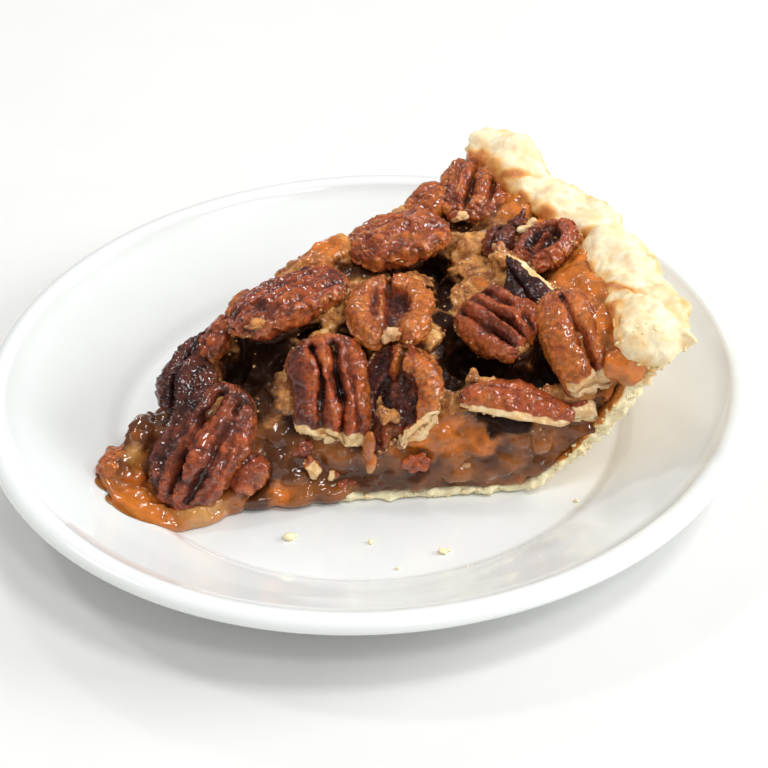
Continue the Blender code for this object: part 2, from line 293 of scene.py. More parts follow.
def pebbles(points, size, seed=0.0):
    """Round-topped cells: 1 in the middle of each and 0 along the seams."""
    scaled = np.asarray(points) / size + seed * 11.7
    nearest = np.array([noise.voronoi(Vector(point))[0][0] for point in scaled])
    return 1 - np.clip(nearest / 0.75, 0, 1) ** 2


def ease(low, high, value):
    """Rises from 0 at low to 1 at high."""
    share = np.clip((value - low) / (high - low), 0, 1)
    return share * share * (3 - 2 * share)


def on_line(line, at):
    """Height of an outline of (place, height) points at places along it, eased between them."""
    places, heights = (np.array(column, float) for column in zip(*line))
    at = np.clip(np.asarray(at, float), places[0], places[-1])
    before = np.clip(np.searchsorted(places, at, side="right") - 1, 0, len(places) - 2)
    share = (at - places[before]) / (places[before + 1] - places[before])
    return heights[before] + (heights[before + 1] - heights[before]) * share * share * (3 - 2 * share)


def near_spots(points, spots):
    """How near each point is to the closest of (x, y, z, reach) spots: 1 at its middle, 0 at its reach."""
    nearest = np.zeros(len(points))
    for x, y, z, reach in spots:
        away = np.linalg.norm(points - (x, y, z), axis=1) / reach
        nearest = np.maximum(nearest, 1 - ease(0, 1, away))
    return nearest


def drawn_line(line, spacing):
    """Points at even steps along straight runs between (r, z) corners."""
    points = []
    for (r0, z0), (r1, z1) in zip(line, line[1:]):
        steps = max(1, round(math.hypot(r1 - r0, z1 - z0) / spacing))
        points += [(r0 + (r1 - r0) * i / steps, z0 + (z1 - z0) * i / steps) for i in range(steps)]
    return points + [line[-1]]


# ------------------------------------------------------------------ node trees
class Tree:
    """A node tree being built: short ways to add a node and to set or link its sockets."""

    def __init__(self, tree):
        self.tree = tree

    def put(self, node, key, value):
        socket = node.inputs[key]
        if isinstance(value, bpy.types.NodeSocket):
            self.tree.links.new(value, socket)
        elif isinstance(value, tuple) and socket.type == "RGBA" and len(value) == 3:
            socket.default_value = (*value, 1.0)
        else:
            socket.default_value = value

    def node(self, kind, sockets=None, **settings):
        made = self.tree.nodes.new(kind)
        for key, value in settings.items():
            setattr(made, key, value)
        for key, value in (sockets or {}).items():
            self.put(made, key, value)
        return made

    def out(self, kind, sockets=None, take=0, **settings):
        return self.node(kind, sockets, **settings).outputs[take]

    def sum(self, operation, first, second=0.0, clamp=False):
        kind = "ShaderNodeMath"
        return self.out(kind, {0: first, 1: second}, operation=operation, use_clamp=clamp)

    def spread(self, value, low, high, to_low=0.0, to_high=1.0):
        return self.out("ShaderNodeMapRange", {0: value, 1: low, 2: high, 3: to_low, 4: to_high})


class Finish(Tree):
    """A material being built, with its Principled shader at hand."""

    def __init__(self, name, **settings):
        self.material = bpy.data.materials.new(name)
        self.material.use_nodes = True
        super().__init__(self.material.node_tree)
        self.shader = self.tree.nodes["Principled BSDF"]
        for key, value in settings.items():
            self.put(self.shader, key.replace("_", " "), value)

    def place(self):
        return self.out("ShaderNodeTexCoord", take="Object")

    def mask(self, name):
        return self.out("ShaderNodeAttribute", take="Fac", attribute_name=name)

    def noise(self, scale, detail=2.0, roughness=0.5):
        sockets = {"Vector": self.place(), "Scale": scale, "Detail": detail, "Roughness": roughness}
        return self.out("ShaderNodeTexNoise", sockets)

    def mix(self, share, first, second, blend="MIX"):
        sockets = {0: share, 6: first, 7: second}
        return self.out("ShaderNodeMix", sockets, take=2, data_type="RGBA", blend_type=blend)

    def group(self, group, sockets):
        made = self.node("ShaderNodeGroup", node_tree=group)
        for key, value in sockets.items():
            self.put(made, key, value)
        return made.outputs

    def relief(self, height, depth, strength=1.0):
        sockets = {"Strength": strength, "Distance": depth * MM, "Height": height}
        self.put(self.shader, "Normal", self.out("ShaderNodeBump", sockets))

    def wavy_coat(self, scale, depth):
        """Gives the wet coat slow waves of its own, so that lights show in it as short glints."""
        sockets = {"Strength": 1.0, "Distance": depth * MM, "Height": self.noise(scale, 1.0)}
        self.put(self.shader, "Coat Normal", self.out("ShaderNodeBump", sockets))


def shader_group(name, inputs, outputs):
    """A new shader node group with (name, socket type, default) inputs and (name, type) outputs."""
    group = bpy.data.node_groups.new(name, "ShaderNodeTree")
    for title, kind, default in inputs:
        socket = group.interface.new_socket(title, in_out="INPUT", socket_type=kind)
        socket.default_value = default
    for title, kind in outputs:
        group.interface.new_socket(title, in_out="OUTPUT", socket_type=kind)
    tree = Tree(group)
    return tree, tree.node("NodeGroupInput").outputs, tree.node("NodeGroupOutput")


def mottle_group():
    """Two colours that run into each other in uneven blotches with finer specks."""
    if "Mottle" in bpy.data.node_groups:
        return bpy.data.node_groups["Mottle"]
    inputs = [
        ("First", "NodeSocketColor", (0.5, 0.5, 0.5, 1)),
        ("Second", "NodeSocketColor", (0.2, 0.2, 0.2, 1)),
        ("Blotches", "NodeSocketFloat", 250.0),
        ("Specks", "NodeSocketFloat", 1500.0),
        ("Lean", "NodeSocketFloat", 0.0),
    ]
    tree, given, result = shader_group("Mottle", inputs, [("Color", "NodeSocketColor")])
    place = tree.out("ShaderNodeTexCoord", take="Object")
    sockets = {"Vector": place, "Scale": given["Blotches"], "Detail": 3.0}
    blotches = tree.out("ShaderNodeTexNoise", sockets)
    sockets = {"Vector": place, "Scale": given["Specks"], "Detail": 2.0}
    specks = tree.out("ShaderNodeTexNoise", sockets)
    share = tree.sum("ADD", tree.sum("MULTIPLY", blotches, 0.7), tree.sum("MULTIPLY", specks, 0.3))
    share = tree.spread(tree.sum("ADD", share, given["Lean"]), 0.38, 0.62)
    sockets = {0: share, 6: given["First"], 7: given["Second"]}
    colour = tree.out("ShaderNodeMix", sockets, take=2, data_type="RGBA")
    tree.put(result, "Color", colour)
    return tree.tree


def wet_film_group():
    """A thin syrup film: its roughness from wet to tacky, and the height of its fine pits."""
    if "Wet film" in bpy.data.node_groups:
        return bpy.data.node_groups["Wet film"]
    inputs = [
        ("Wet", "NodeSocketFloat", 0.1),
        ("Tacky", "NodeSocketFloat", 0.4),
        ("Patches", "NodeSocketFloat", 350.0),
        ("Pits", "NodeSocketFloat", 1800.0),
    ]
    outputs = [("Roughness", "NodeSocketFloat"), ("Height", "NodeSocketFloat")]
    tree, given, result = shader_group("Wet film", inputs, outputs)
    place = tree.out("ShaderNodeTexCoord", take="Object")
    patches = tree.out("ShaderNodeTexNoise", {"Vector": place, "Scale": given["Patches"], "Detail": 2.0})
    rough = tree.out("ShaderNodeMapRange", {0: patches, 1: 0.35, 2: 0.65, 3: given["Wet"], 4: given["Tacky"]})
    pits = tree.out("ShaderNodeTexNoise", {"Vector": place, "Scale": given["Pits"], "Detail": 3.0})
    tree.put(result, "Roughness", rough)
    tree.put(result, "Height", tree.sum("ADD", tree.sum("MULTIPLY", patches, 0.6), pits))
    return tree.tree


# ------------------------------------------------------------------ finishes
def glaze_finish(settings):
    finish = Finish("white glaze", Coat_Weight=0.5, Coat_Roughness=0.05, IOR=1.5)
    base = tuple(settings.glaze)
    shade = tuple(channel * 0.96 for channel in base)
    sockets = {"First": (*base, 1.0), "Second": (*shade, 1.0), "Blotches": 14.0, "Specks": 90.0}
    finish.put(finish.shader, "Base Color", finish.group(mottle_group(), sockets)["Color"])
    film = finish.group(wet_film_group(), {"Wet": 0.1, "Tacky": 0.2, "Patches": 30.0, "Pits": 120.0})
    finish.put(finish.shader, "Roughness", film["Roughness"])
    finish.relief(film["Height"], 0.05, 0.15)
    return finish.material


def pastry_finish(settings, name="baked pastry"):
    """Pale puffed pastry, toasted where the "toast" mask is full and stained where "caramel" is."""
    finish = Finish(name, Subsurface_Weight=0.12, Subsurface_Scale=0.003)
    pale, baked = (*settings.pale, 1.0), (*settings.baked, 1.0)
    sockets = {"First": pale, "Second": baked, "Blotches": 260.0, "Specks": 1500.0, "Lean": -0.05}
    crumb = finish.group(mottle_group(), sockets)["Color"]
    crumb = finish.mix(finish.mask("cut"), crumb, tuple(settings.flake_light))
    toast = finish.spread(finish.sum("ADD", finish.mask("toast"), finish.noise(500.0)), 0.55, 1.45)
    colour = finish.mix(toast, crumb, tuple(settings.toasted))
    stain = finish.sum("ADD", finish.mask("caramel"), finish.sum("MULTIPLY", finish.noise(420.0, 4.0), 0.5))
    colour = finish.mix(finish.spread(stain, 0.3, 0.85), colour, tuple(settings.golden))
    stain = finish.spread(stain, 0.75, 1.15)
    colour = finish.mix(stain, colour, tuple(settings.stain))
    finish.put(finish.shader, "Base Color", colour)
    finish.put(finish.shader, "Roughness", finish.spread(stain, 0.0, 1.0, 0.75, 0.28))
    height = finish.sum("ADD", finish.noise(900.0, 4.0, 0.6), finish.sum("MULTIPLY", finish.noise(3200.0), 0.4))
    finish.relief(height, 0.35, 0.55)
    return finish.material


def custard_finish(settings):
    """Set caramel custard by mask: smooth amber gel, golden froth, bright caramel, and near-black painted shade in the
    hollows.
    """
    finish = Finish(
        "caramel custard",
        Subsurface_Weight=0.25,
        Subsurface_Scale=0.004,
        Subsurface_Radius=(1.0, 0.35, 0.12),
        Coat_Roughness=0.07,
        Specular_IOR_Level=0.1,
    )
    gel, deep = (*settings.gel, 1.0), (*settings.deep, 1.0)
    sockets = {"First": gel, "Second": deep, "Blotches": 170.0, "Specks": 700.0}
    colour = finish.group(mottle_group(), sockets)["Color"]
    amber = finish.spread(finish.sum("ADD", finish.mask("amber"), finish.noise(350.0)), 0.6, 1.3)
    colour = finish.mix(amber, colour, tuple(settings.amber))
    froth, rust = (*settings.froth, 1.0), (*settings.rust, 1.0)
    sockets = {"First": froth, "Second": rust, "Blotches": 420.0, "Specks": 2100.0}
    golden = finish.group(mottle_group(), sockets)["Color"]
    on_froth = finish.sum("ADD", finish.mask("froth"), finish.sum("MULTIPLY", finish.noise(600.0), 0.6))
    on_froth = finish.spread(on_froth, 0.6, 1.0)
    # Cream on the raised tips of the froth: the froth's own lighter colour and partly a painted highlight.
    fleck = finish.spread(finish.sum("ADD", finish.mask("fleck"), finish.noise(900.0)), 0.75, 1.2)
    golden = finish.mix(fleck, golden, tuple(settings.froth_light))
    colour = finish.mix(on_froth, colour, golden)
    bright = finish.spread(finish.sum("ADD", finish.mask("bright"), finish.noise(300.0)), 0.75, 1.25)
    glow = finish.spread(finish.noise(260.0, 3.0), 0.3, 0.55)
    colour = finish.mix(bright, colour, finish.mix(glow, tuple(settings.amber), tuple(settings.bright)))
    # Painted shade: near-black colour where the hollow mask says the gaps between the nuts lie in shade.
    colour = finish.mix(finish.sum("MULTIPLY", finish.mask("hollow"), 0.93), colour, tuple(settings.hollow))
    finish.put(finish.shader, "Base Color", colour)
    film = finish.group(wet_film_group(), {"Wet": 0.16, "Tacky": 0.42})
    finish.put(finish.shader, "Roughness", finish.sum("ADD", film["Roughness"], finish.sum("MULTIPLY", on_froth, 0.12)))
    wet = finish.spread(finish.mask("froth"), 0.0, 1.0, 0.95, 0.9)
    # No coat in the painted shade of the hollows.
    wet = finish.sum("MULTIPLY", wet, finish.sum("SUBTRACT", 1.0, finish.mask("hollow")))
    finish.put(finish.shader, "Coat Weight", wet)
    fine = finish.sum("MULTIPLY", finish.sum("MULTIPLY", finish.noise(1300.0, 4.0, 0.7), on_froth), 2.0)
    finish.relief(finish.sum("ADD", film["Height"], fine), 0.3, 0.6)
    finish.wavy_coat(420.0, 0.4)
    return finish.material


def caramel_finish(settings, name="clear caramel"):
    """Runny clear caramel, orange where it is thin and brown where it is thick."""
    finish = Finish(
        name,
        Subsurface_Weight=0.4,
        Subsurface_Scale=0.006,
        Subsurface_Radius=(1.0, 0.32, 0.06),
        Coat_Weight=0.9,
        Coat_Roughness=0.04,
        Coat_IOR=1.6,
        Specular_IOR_Level=0.2,
    )
    thin, thick = (*settings.bright, 1.0), (*settings.amber, 1.0)
    sockets = {"First": thin, "Second": thick, "Blotches": 120.0, "Specks": 500.0}
    colour = finish.group(mottle_group(), sockets)["Color"]
    brown = finish.spread(finish.sum("ADD", finish.mask("brown"), finish.noise(260.0)), 0.7, 1.3)
    colour = finish.mix(brown, colour, tuple(settings.gel))
    milky = finish.spread(finish.sum("ADD", finish.mask("milky"), finish.noise(200.0)), 0.75, 1.35)
    colour = finish.mix(milky, colour, tuple(settings.milky))
    finish.put(finish.shader, "Base Color", colour)
    film = finish.group(wet_film_group(), {"Wet": 0.06, "Tacky": 0.2, "Pits": 900.0})
    finish.put(finish.shader, "Roughness", film["Roughness"])
    finish.relief(film["Height"], 0.25, 0.25)
    finish.wavy_coat(260.0, 0.4)
    return finish.material


def pecan_finish(settings, name="glazed pecan"):
    """Pecan skin from orange through red to plum by the "tone" mask, with broken flesh and with painted shade in the
    furrows and in the tone.
    """
    finish = Finish(
        name,
        Coat_Roughness=0.06,
        Coat_IOR=1.6,
        Specular_IOR_Level=0.15,
        Subsurface_Weight=0.06,
        Subsurface_Scale=0.002,
    )
    tone = finish.sum("ADD", finish.mask("tone"), finish.sum("MULTIPLY", finish.noise(330.0, 4.0), 0.34))
    tone = finish.sum("SUBTRACT", tone, 0.17)
    ramp = finish.node("ShaderNodeValToRGB", {"Fac": tone})
    stops = ramp.color_ramp.elements
    for place, skin in ((0.0, settings.orange), (0.33, settings.red), (0.66, settings.purple), (1.0, settings.plum)):
        stop = stops[0] if place == 0 else stops[-1] if place == 1 else stops.new(place)
        stop.color = (*skin, 1.0)
    colour = ramp.outputs["Color"]
    edge = finish.sum("MULTIPLY", finish.mask("margin"), finish.spread(finish.noise(500.0), 0.35, 0.6))
    colour = finish.mix(edge, colour, tuple(settings.orange))
    fleck = finish.spread(finish.noise(1500.0, 3.0), 0.62, 0.68)
    fleck = finish.sum("MULTIPLY", fleck, finish.sum("ADD", finish.mask("margin"), 0.15), clamp=True)
    colour = finish.mix(fleck, colour, tuple(settings.tan))
    # Painted shade: near black in the furrows, seams, slits and hollows, by their mask.
    dark = finish.sum("MULTIPLY", finish.mask("furrow"), 0.9)
    colour = finish.mix(dark, colour, (0.012, 0.005, 0.005))
    shade = finish.spread(finish.noise(800.0, 4.0, 0.7), 0.36, 0.64, 0.5, 1.18)
    shade = finish.out("ShaderNodeCombineXYZ", {0: shade, 1: shade, 2: shade})
    colour = finish.mix(1.0, colour, shade, "MULTIPLY")
    flesh, tan = (*settings.flesh, 1.0), (*settings.tan, 1.0)
    sockets = {"First": flesh, "Second": tan, "Blotches": 380.0, "Specks": 1600.0}
    kernel = finish.group(mottle_group(), sockets)["Color"]
    broken = finish.spread(finish.mask("flesh"), 0.35, 0.75)
    colour = finish.mix(broken, colour, kernel)
    finish.put(finish.shader, "Base Color", colour)
    film = finish.group(wet_film_group(), {"Wet": 0.2, "Tacky": 0.45, "Patches": 900.0, "Pits": 2600.0})
    rough = finish.sum("ADD", film["Roughness"], finish.sum("MULTIPLY", broken, 0.2), clamp=True)
    finish.put(finish.shader, "Roughness", rough)
    wet = finish.sum("MULTIPLY", finish.spread(broken, 0.0, 1.0, 0.8, 0.15), finish.spread(tone, 0.6, 1.0, 1.0, 0.65))
    finish.put(finish.shader, "Coat Weight", wet)
    fine = finish.sum("ADD", film["Height"], finish.noise(1400.0, 4.0, 0.65))
    finish.relief(fine, 0.35, 0.6)
    finish.wavy_coat(500.0, 0.25)
    return finish.material


def crumb_finish(name, light, dark, roughness, coat=0.0):
    """Loose crumbs: each one its own shade between the two colours, by the "tint" mask."""
    finish = Finish(name, Roughness=roughness, Coat_Weight=coat, Coat_Roughness=0.1)
    sockets = {"First": (*light, 1.0), "Second": (*dark, 1.0), "Blotches": 900.0, "Specks": 3000.0}
    sockets["Lean"] = finish.spread(finish.mask("tint"), 0.0, 1.0, -0.2, 0.2)
    finish.put(finish.shader, "Base Color", finish.group(mottle_group(), sockets)["Color"])
    finish.relief(finish.noise(2500.0, 3.0), 0.15, 0.5)
    return finish.material


def floor_finish(settings):
    finish = Finish("pale floor", Roughness=0.85)
    base = tuple(settings.floor)
    shade = tuple(channel * 0.97 for channel in base)
    sockets = {"First": (*base, 1.0), "Second": (*shade, 1.0), "Blotches": 6.0, "Specks": 60.0}
    finish.put(finish.shader, "Base Color", finish.group(mottle_group(), sockets)["Color"])
    return finish.material


# ------------------------------------------------------------------ geometry node trees
def geometry_tree(name, inputs):
    """A geometry node tree with a Geometry socket on both sides and (name, type, default) inputs."""
    group = bpy.data.node_groups.new(name, "GeometryNodeTree")
    group.interface.new_socket("Geometry", in_out="INPUT", socket_type="NodeSocketGeometry")
    for title, kind, default in inputs:
        socket = group.interface.new_socket(title, in_out="INPUT", socket_type=kind)
        if default is not None:
            socket.default_value = default
    group.interface.new_socket("Geometry", in_out="OUTPUT", socket_type="NodeSocketGeometry")
    tree = Tree(group)
    return tree, tree.node("NodeGroupInput").outputs, tree.node("NodeGroupOutput")


def finish_tree(tree, result, geometry, material):
    """Ends a tree the way every one here ends: real mesh, smooth, with its material."""
    real = tree.out("GeometryNodeRealizeInstances", {0: geometry})
    smooth = tree.out("GeometryNodeSetShadeSmooth", {0: real})
    made = tree.out("GeometryNodeSetMaterial", {"Geometry": smooth, "Material": material})
    tree.put(result, "Geometry", made)


def grown(base, tree, values):
    """The plain mesh that a tree makes from an object's data; values are set by socket name."""
    host = bpy.data.objects.new("host", base)
    bpy.context.scene.collection.objects.link(host)
    modifier = host.modifiers.new("grow", "NODES")
    modifier.node_group = tree
    for socket in tree.interface.items_tree:
        if socket.in_out == "INPUT" and socket.name in values:
            modifier[socket.identifier] = values[socket.name]
    graph = bpy.context.evaluated_depsgraph_get()
    mesh = bpy.data.meshes.new_from_object(host.evaluated_get(graph))
    bpy.data.objects.remove(host)
    return mesh


def turned_ware_tree():
    """Turns an outline, drawn from axis to axis in the XZ plane, once round Z."""
    inputs = [("Steps", "NodeSocketInt", 192), ("Material", "NodeSocketMaterial", None)]
    tree, given, result = geometry_tree("Turned ware", inputs)
    sizes = tree.node("GeometryNodeAttributeDomainSize", {0: given["Geometry"]}, component="CURVE")
    count = sizes.outputs["Point Count"]
    rows = tree.sum("ADD", given["Steps"], 1)
    sheet = tree.out("GeometryNodeMeshGrid", {0: 1.0, 1: 1.0, "Vertices X": rows, "Vertices Y": count})
    spot = tree.node("ShaderNodeSeparateXYZ", {0: tree.out("GeometryNodeInputPosition")})
    angle = tree.sum("MULTIPLY", tree.sum("ADD", spot.outputs["X"], 0.5), math.tau)
    row = tree.sum("MULTIPLY", tree.sum("ADD", spot.outputs["Y"], 0.5), tree.sum("SUBTRACT", count, 1))
    row = tree.sum("ROUND", row)
    outline = tree.node("GeometryNodeSampleIndex", {"Geometry": given["Geometry"], "Index": row}, data_type="FLOAT_VECTOR")
    tree.put(outline, "Value", tree.out("GeometryNodeInputPosition"))
    at = tree.node("ShaderNodeSeparateXYZ", {0: outline.outputs[0]})
    across = tree.sum("MULTIPLY", at.outputs["X"], tree.sum("COSINE", angle))
    along = tree.sum("MULTIPLY", at.outputs["X"], tree.sum("SINE", angle))
    place = tree.out("ShaderNodeCombineXYZ", {0: across, 1: along, 2: at.outputs["Z"]})
    turned = tree.out("GeometryNodeSetPosition", {"Geometry": sheet, "Position": place})
    welded = tree.out("GeometryNodeMergeByDistance", {"Geometry": turned, "Distance": 1e-6})
    finish_tree(tree, result, welded, given["Material"])
    return tree.tree


def crumbs_tree():
    """Scatters small lumpy crumbs over a mesh, as thick as its "crumbs" mask says."""
    if "Crumbs" in bpy.data.node_groups:
        return bpy.data.node_groups["Crumbs"]
    inputs = [
        ("Density", "NodeSocketFloat", 1e6),
        ("Smallest", "NodeSocketFloat", 0.0004),
        ("Largest", "NodeSocketFloat", 0.0009),
        ("Flatness", "NodeSocketFloat", 1.0),
        ("Seed", "NodeSocketInt", 1),
        ("Material", "NodeSocketMaterial", None),
    ]
    tree, given, result = geometry_tree("Crumbs", inputs)
    mask = tree.out("GeometryNodeInputNamedAttribute", {"Name": "crumbs"}, data_type="FLOAT")
    density = tree.sum("MULTIPLY", mask, given["Density"])
    sockets = {"Mesh": given["Geometry"], "Density": density, "Seed": given["Seed"]}
    scatter = tree.node("GeometryNodeDistributePointsOnFaces", sockets, distribute_method="RANDOM")
    cube = tree.out("GeometryNodeMeshCube", {"Vertices X": 3, "Vertices Y": 3, "Vertices Z": 3})
    spot = tree.out("GeometryNodeInputPosition")
    round_spot = tree.out("ShaderNodeVectorMath", {0: spot}, operation="NORMALIZE")
    lumps = tree.out("ShaderNodeTexNoise", {"Vector": round_spot, "Scale": 1.9, "Detail": 1.0})
    reach = tree.spread(lumps, 0.3, 0.7, 0.3, 1.4)
    place = tree.out("ShaderNodeVectorMath", {0: round_spot, "Scale": reach}, operation="SCALE")
    crumb = tree.out("GeometryNodeSetPosition", {"Geometry": cube, "Position": place})
    size = tree.out(
        "FunctionNodeRandomValue",
        {"Min": given["Smallest"], "Max": given["Largest"], "Seed": given["Seed"]},
        take="Value",
        data_type="FLOAT",
    )
    size = tree.sum("MULTIPLY", size, 0.5)
    turn = tree.node("FunctionNodeRandomValue", {"Seed": given["Seed"]}, data_type="FLOAT_VECTOR")
    turn.inputs["Max"].default_value = (0.6, 0.6, math.tau)
    flat = tree.sum("MULTIPLY", size, given["Flatness"])
    scale = tree.out("ShaderNodeCombineXYZ", {0: size, 1: size, 2: flat})
    turned = tree.out("FunctionNodeRotateRotation", {0: scatter.outputs["Rotation"], 1: turn.outputs[0]}, rotation_space="LOCAL")
    sockets = {"Points": scatter.outputs["Points"], "Instance": crumb, "Rotation": turned, "Scale": scale}
    spread = tree.out("GeometryNodeInstanceOnPoints", sockets)
    tint = tree.out("FunctionNodeRandomValue", {"Seed": 7}, take="Value", data_type="FLOAT")
    sockets = {"Geometry": spread, "Name": "tint", "Value": tint}
    tinted = tree.out("GeometryNodeStoreNamedAttribute", sockets, data_type="FLOAT", domain="INSTANCE")
    finish_tree(tree, result, tinted, given["Material"])
    return tree.tree


# ------------------------------------------------------------------ plate
def plate_outline():
    """(r, z) points of the turned outline, from the middle of the floor round to the middle below."""
    middle = ((RISER[0] + RIM_BREAK[0]) / 2, (RISER[1] + RIM_BREAK[1]) / 2 - 0.3)
    top = [(0.0, PLATE_FLOOR), (WELL_RADIUS, PLATE_FLOOR), RISER, middle, RIM_BREAK]
    bead = []
    for step in range(15):
        turn = math.radians(150 - 230 * step / 14)
        bead.append((BEAD[0] + BEAD_HALF[0] * math.cos(turn), BEAD[1] + BEAD_HALF[1] * math.sin(turn)))
    under = [(RIM_BREAK[0] + 0.6, RIM_BREAK[1] - PLATE_UNDER), (RISER[0] + 1.5, RISER[1] - PLATE_UNDER + 0.4)]
    under += [(48.3, 2.1), (47.6, 0.4), (46.8, 0.0), (44.2, 0.0), (43.4, 0.4), (42.3, 1.2), (0.0, 1.2)]
    return rounded(top, 1.1) + bead + rounded(under, 0.35)


def rounded(corners, bend):
    """The corners of a line with each inner one turned into a short arc, and long runs divided."""
    path = [Vector(corners[0])]
    for before, here, after in zip(corners, corners[1:], corners[2:]):
        before, here, after = Vector(before), Vector(here), Vector(after)
        reach = min(bend, (before - here).length * 0.4, (after - here).length * 0.4)
        start = here + (before - here).normalized() * reach
        end = here + (after - here).normalized() * reach
        for step in range(5):
            share = step / 4
            path.append((1 - share) ** 2 * start + 2 * share * (1 - share) * here + share**2 * end)
    path.append(Vector(corners[-1]))
    return drawn_line([tuple(point) for point in path], 3.0)


def build_plate(settings):
    curve = bpy.data.curves.new("plate outline", "CURVE")
    curve.dimensions = "3D"
    outline = plate_outline()
    spline = curve.splines.new("POLY")
    spline.points.add(len(outline) - 1)
    for point, (r, z) in zip(spline.points, outline):
        point.co = (r * MM, 0.0, z * MM, 1.0)
    values = {"Steps": settings.steps, "Material": glaze_finish(settings)}
    mesh = grown(curve, turned_ware_tree(), values)
    bm = bmesh.new()
    bm.from_mesh(mesh)
    bmesh.ops.recalc_face_normals(bm, faces=bm.faces)
    bm.to_mesh(mesh)
    bm.free()
    return new_piece("white_plate", mesh, values["Material"], "plate_glaze", "plate")


# ------------------------------------------------------------------ crust
def lobes_at(angle):
    """How far the rim stands up and out at each angle: full on a lobe, none in a crease."""
    lift = np.full(len(angle), -1.0)
    swell = np.full(len(angle), -1.5)
    for middle, half, height, width in RIM_LOBES:
        share = np.sqrt(np.maximum(0.0, 1 - ((angle - middle) / half) ** 2))
        lift = np.maximum(lift, share * (height + 1.0) - 1.0)
        swell = np.maximum(swell, share * (width + 1.5) - 1.5)
    return lift, swell


def rim_edges(angle):
    """Inner and outer radius of the rim at an angle."""
    share = np.asarray(angle) / SLICE_ANGLE
    return [near + (far - near) * share for near, far in zip(RIM_NEAR, RIM_FAR)]


def crust_skin():
    """The crust as one closed sweep of its section from the near cut to the far cut."""
    angles = np.linspace(0, SLICE_ANGLE, 86)
    lifts, swells = lobes_at(angles)
    points = []
    for angle, lift, swell in zip(angles, lifts, swells):
        inner, outer = rim_edges(angle)
        middle, half = (inner + outer) / 2, (outer - inner) / 2 + swell
        half *= 0.72 + 0.28 * math.sqrt(min(1.0, (SLICE_ANGLE - angle) / 1.8))
        section = [(TIP_CUT, 0.0)] + CRUST_OUTSIDE + [(middle + half * 0.55, RIM_HEIGHT - 1.4)]
        for step in range(15):
            turn = math.radians(-12 + 190 * step / 14)
            high = RIM_HEIGHT + lift * 0.5 + (RIM_HALF_HEIGHT + lift * 0.5) * math.sin(turn)
            section.append((middle + half * math.cos(turn), high))
        shift = 2.4 * angle / SLICE_ANGLE
        section += [(106.8 + shift, 30.2)] + CRUST_INSIDE + [(TIP_CUT, CRUST_FLOOR)]
        turn = math.radians(angle)
        out = 2.2 * max(0.0, 1 - angle / 1.5)
        points += [(r * math.cos(turn), r * math.sin(turn) - out, z) for r, z in section]
    return closed_mesh(on_plate(points), capped_faces(len(angles), len(points) // len(angles)))


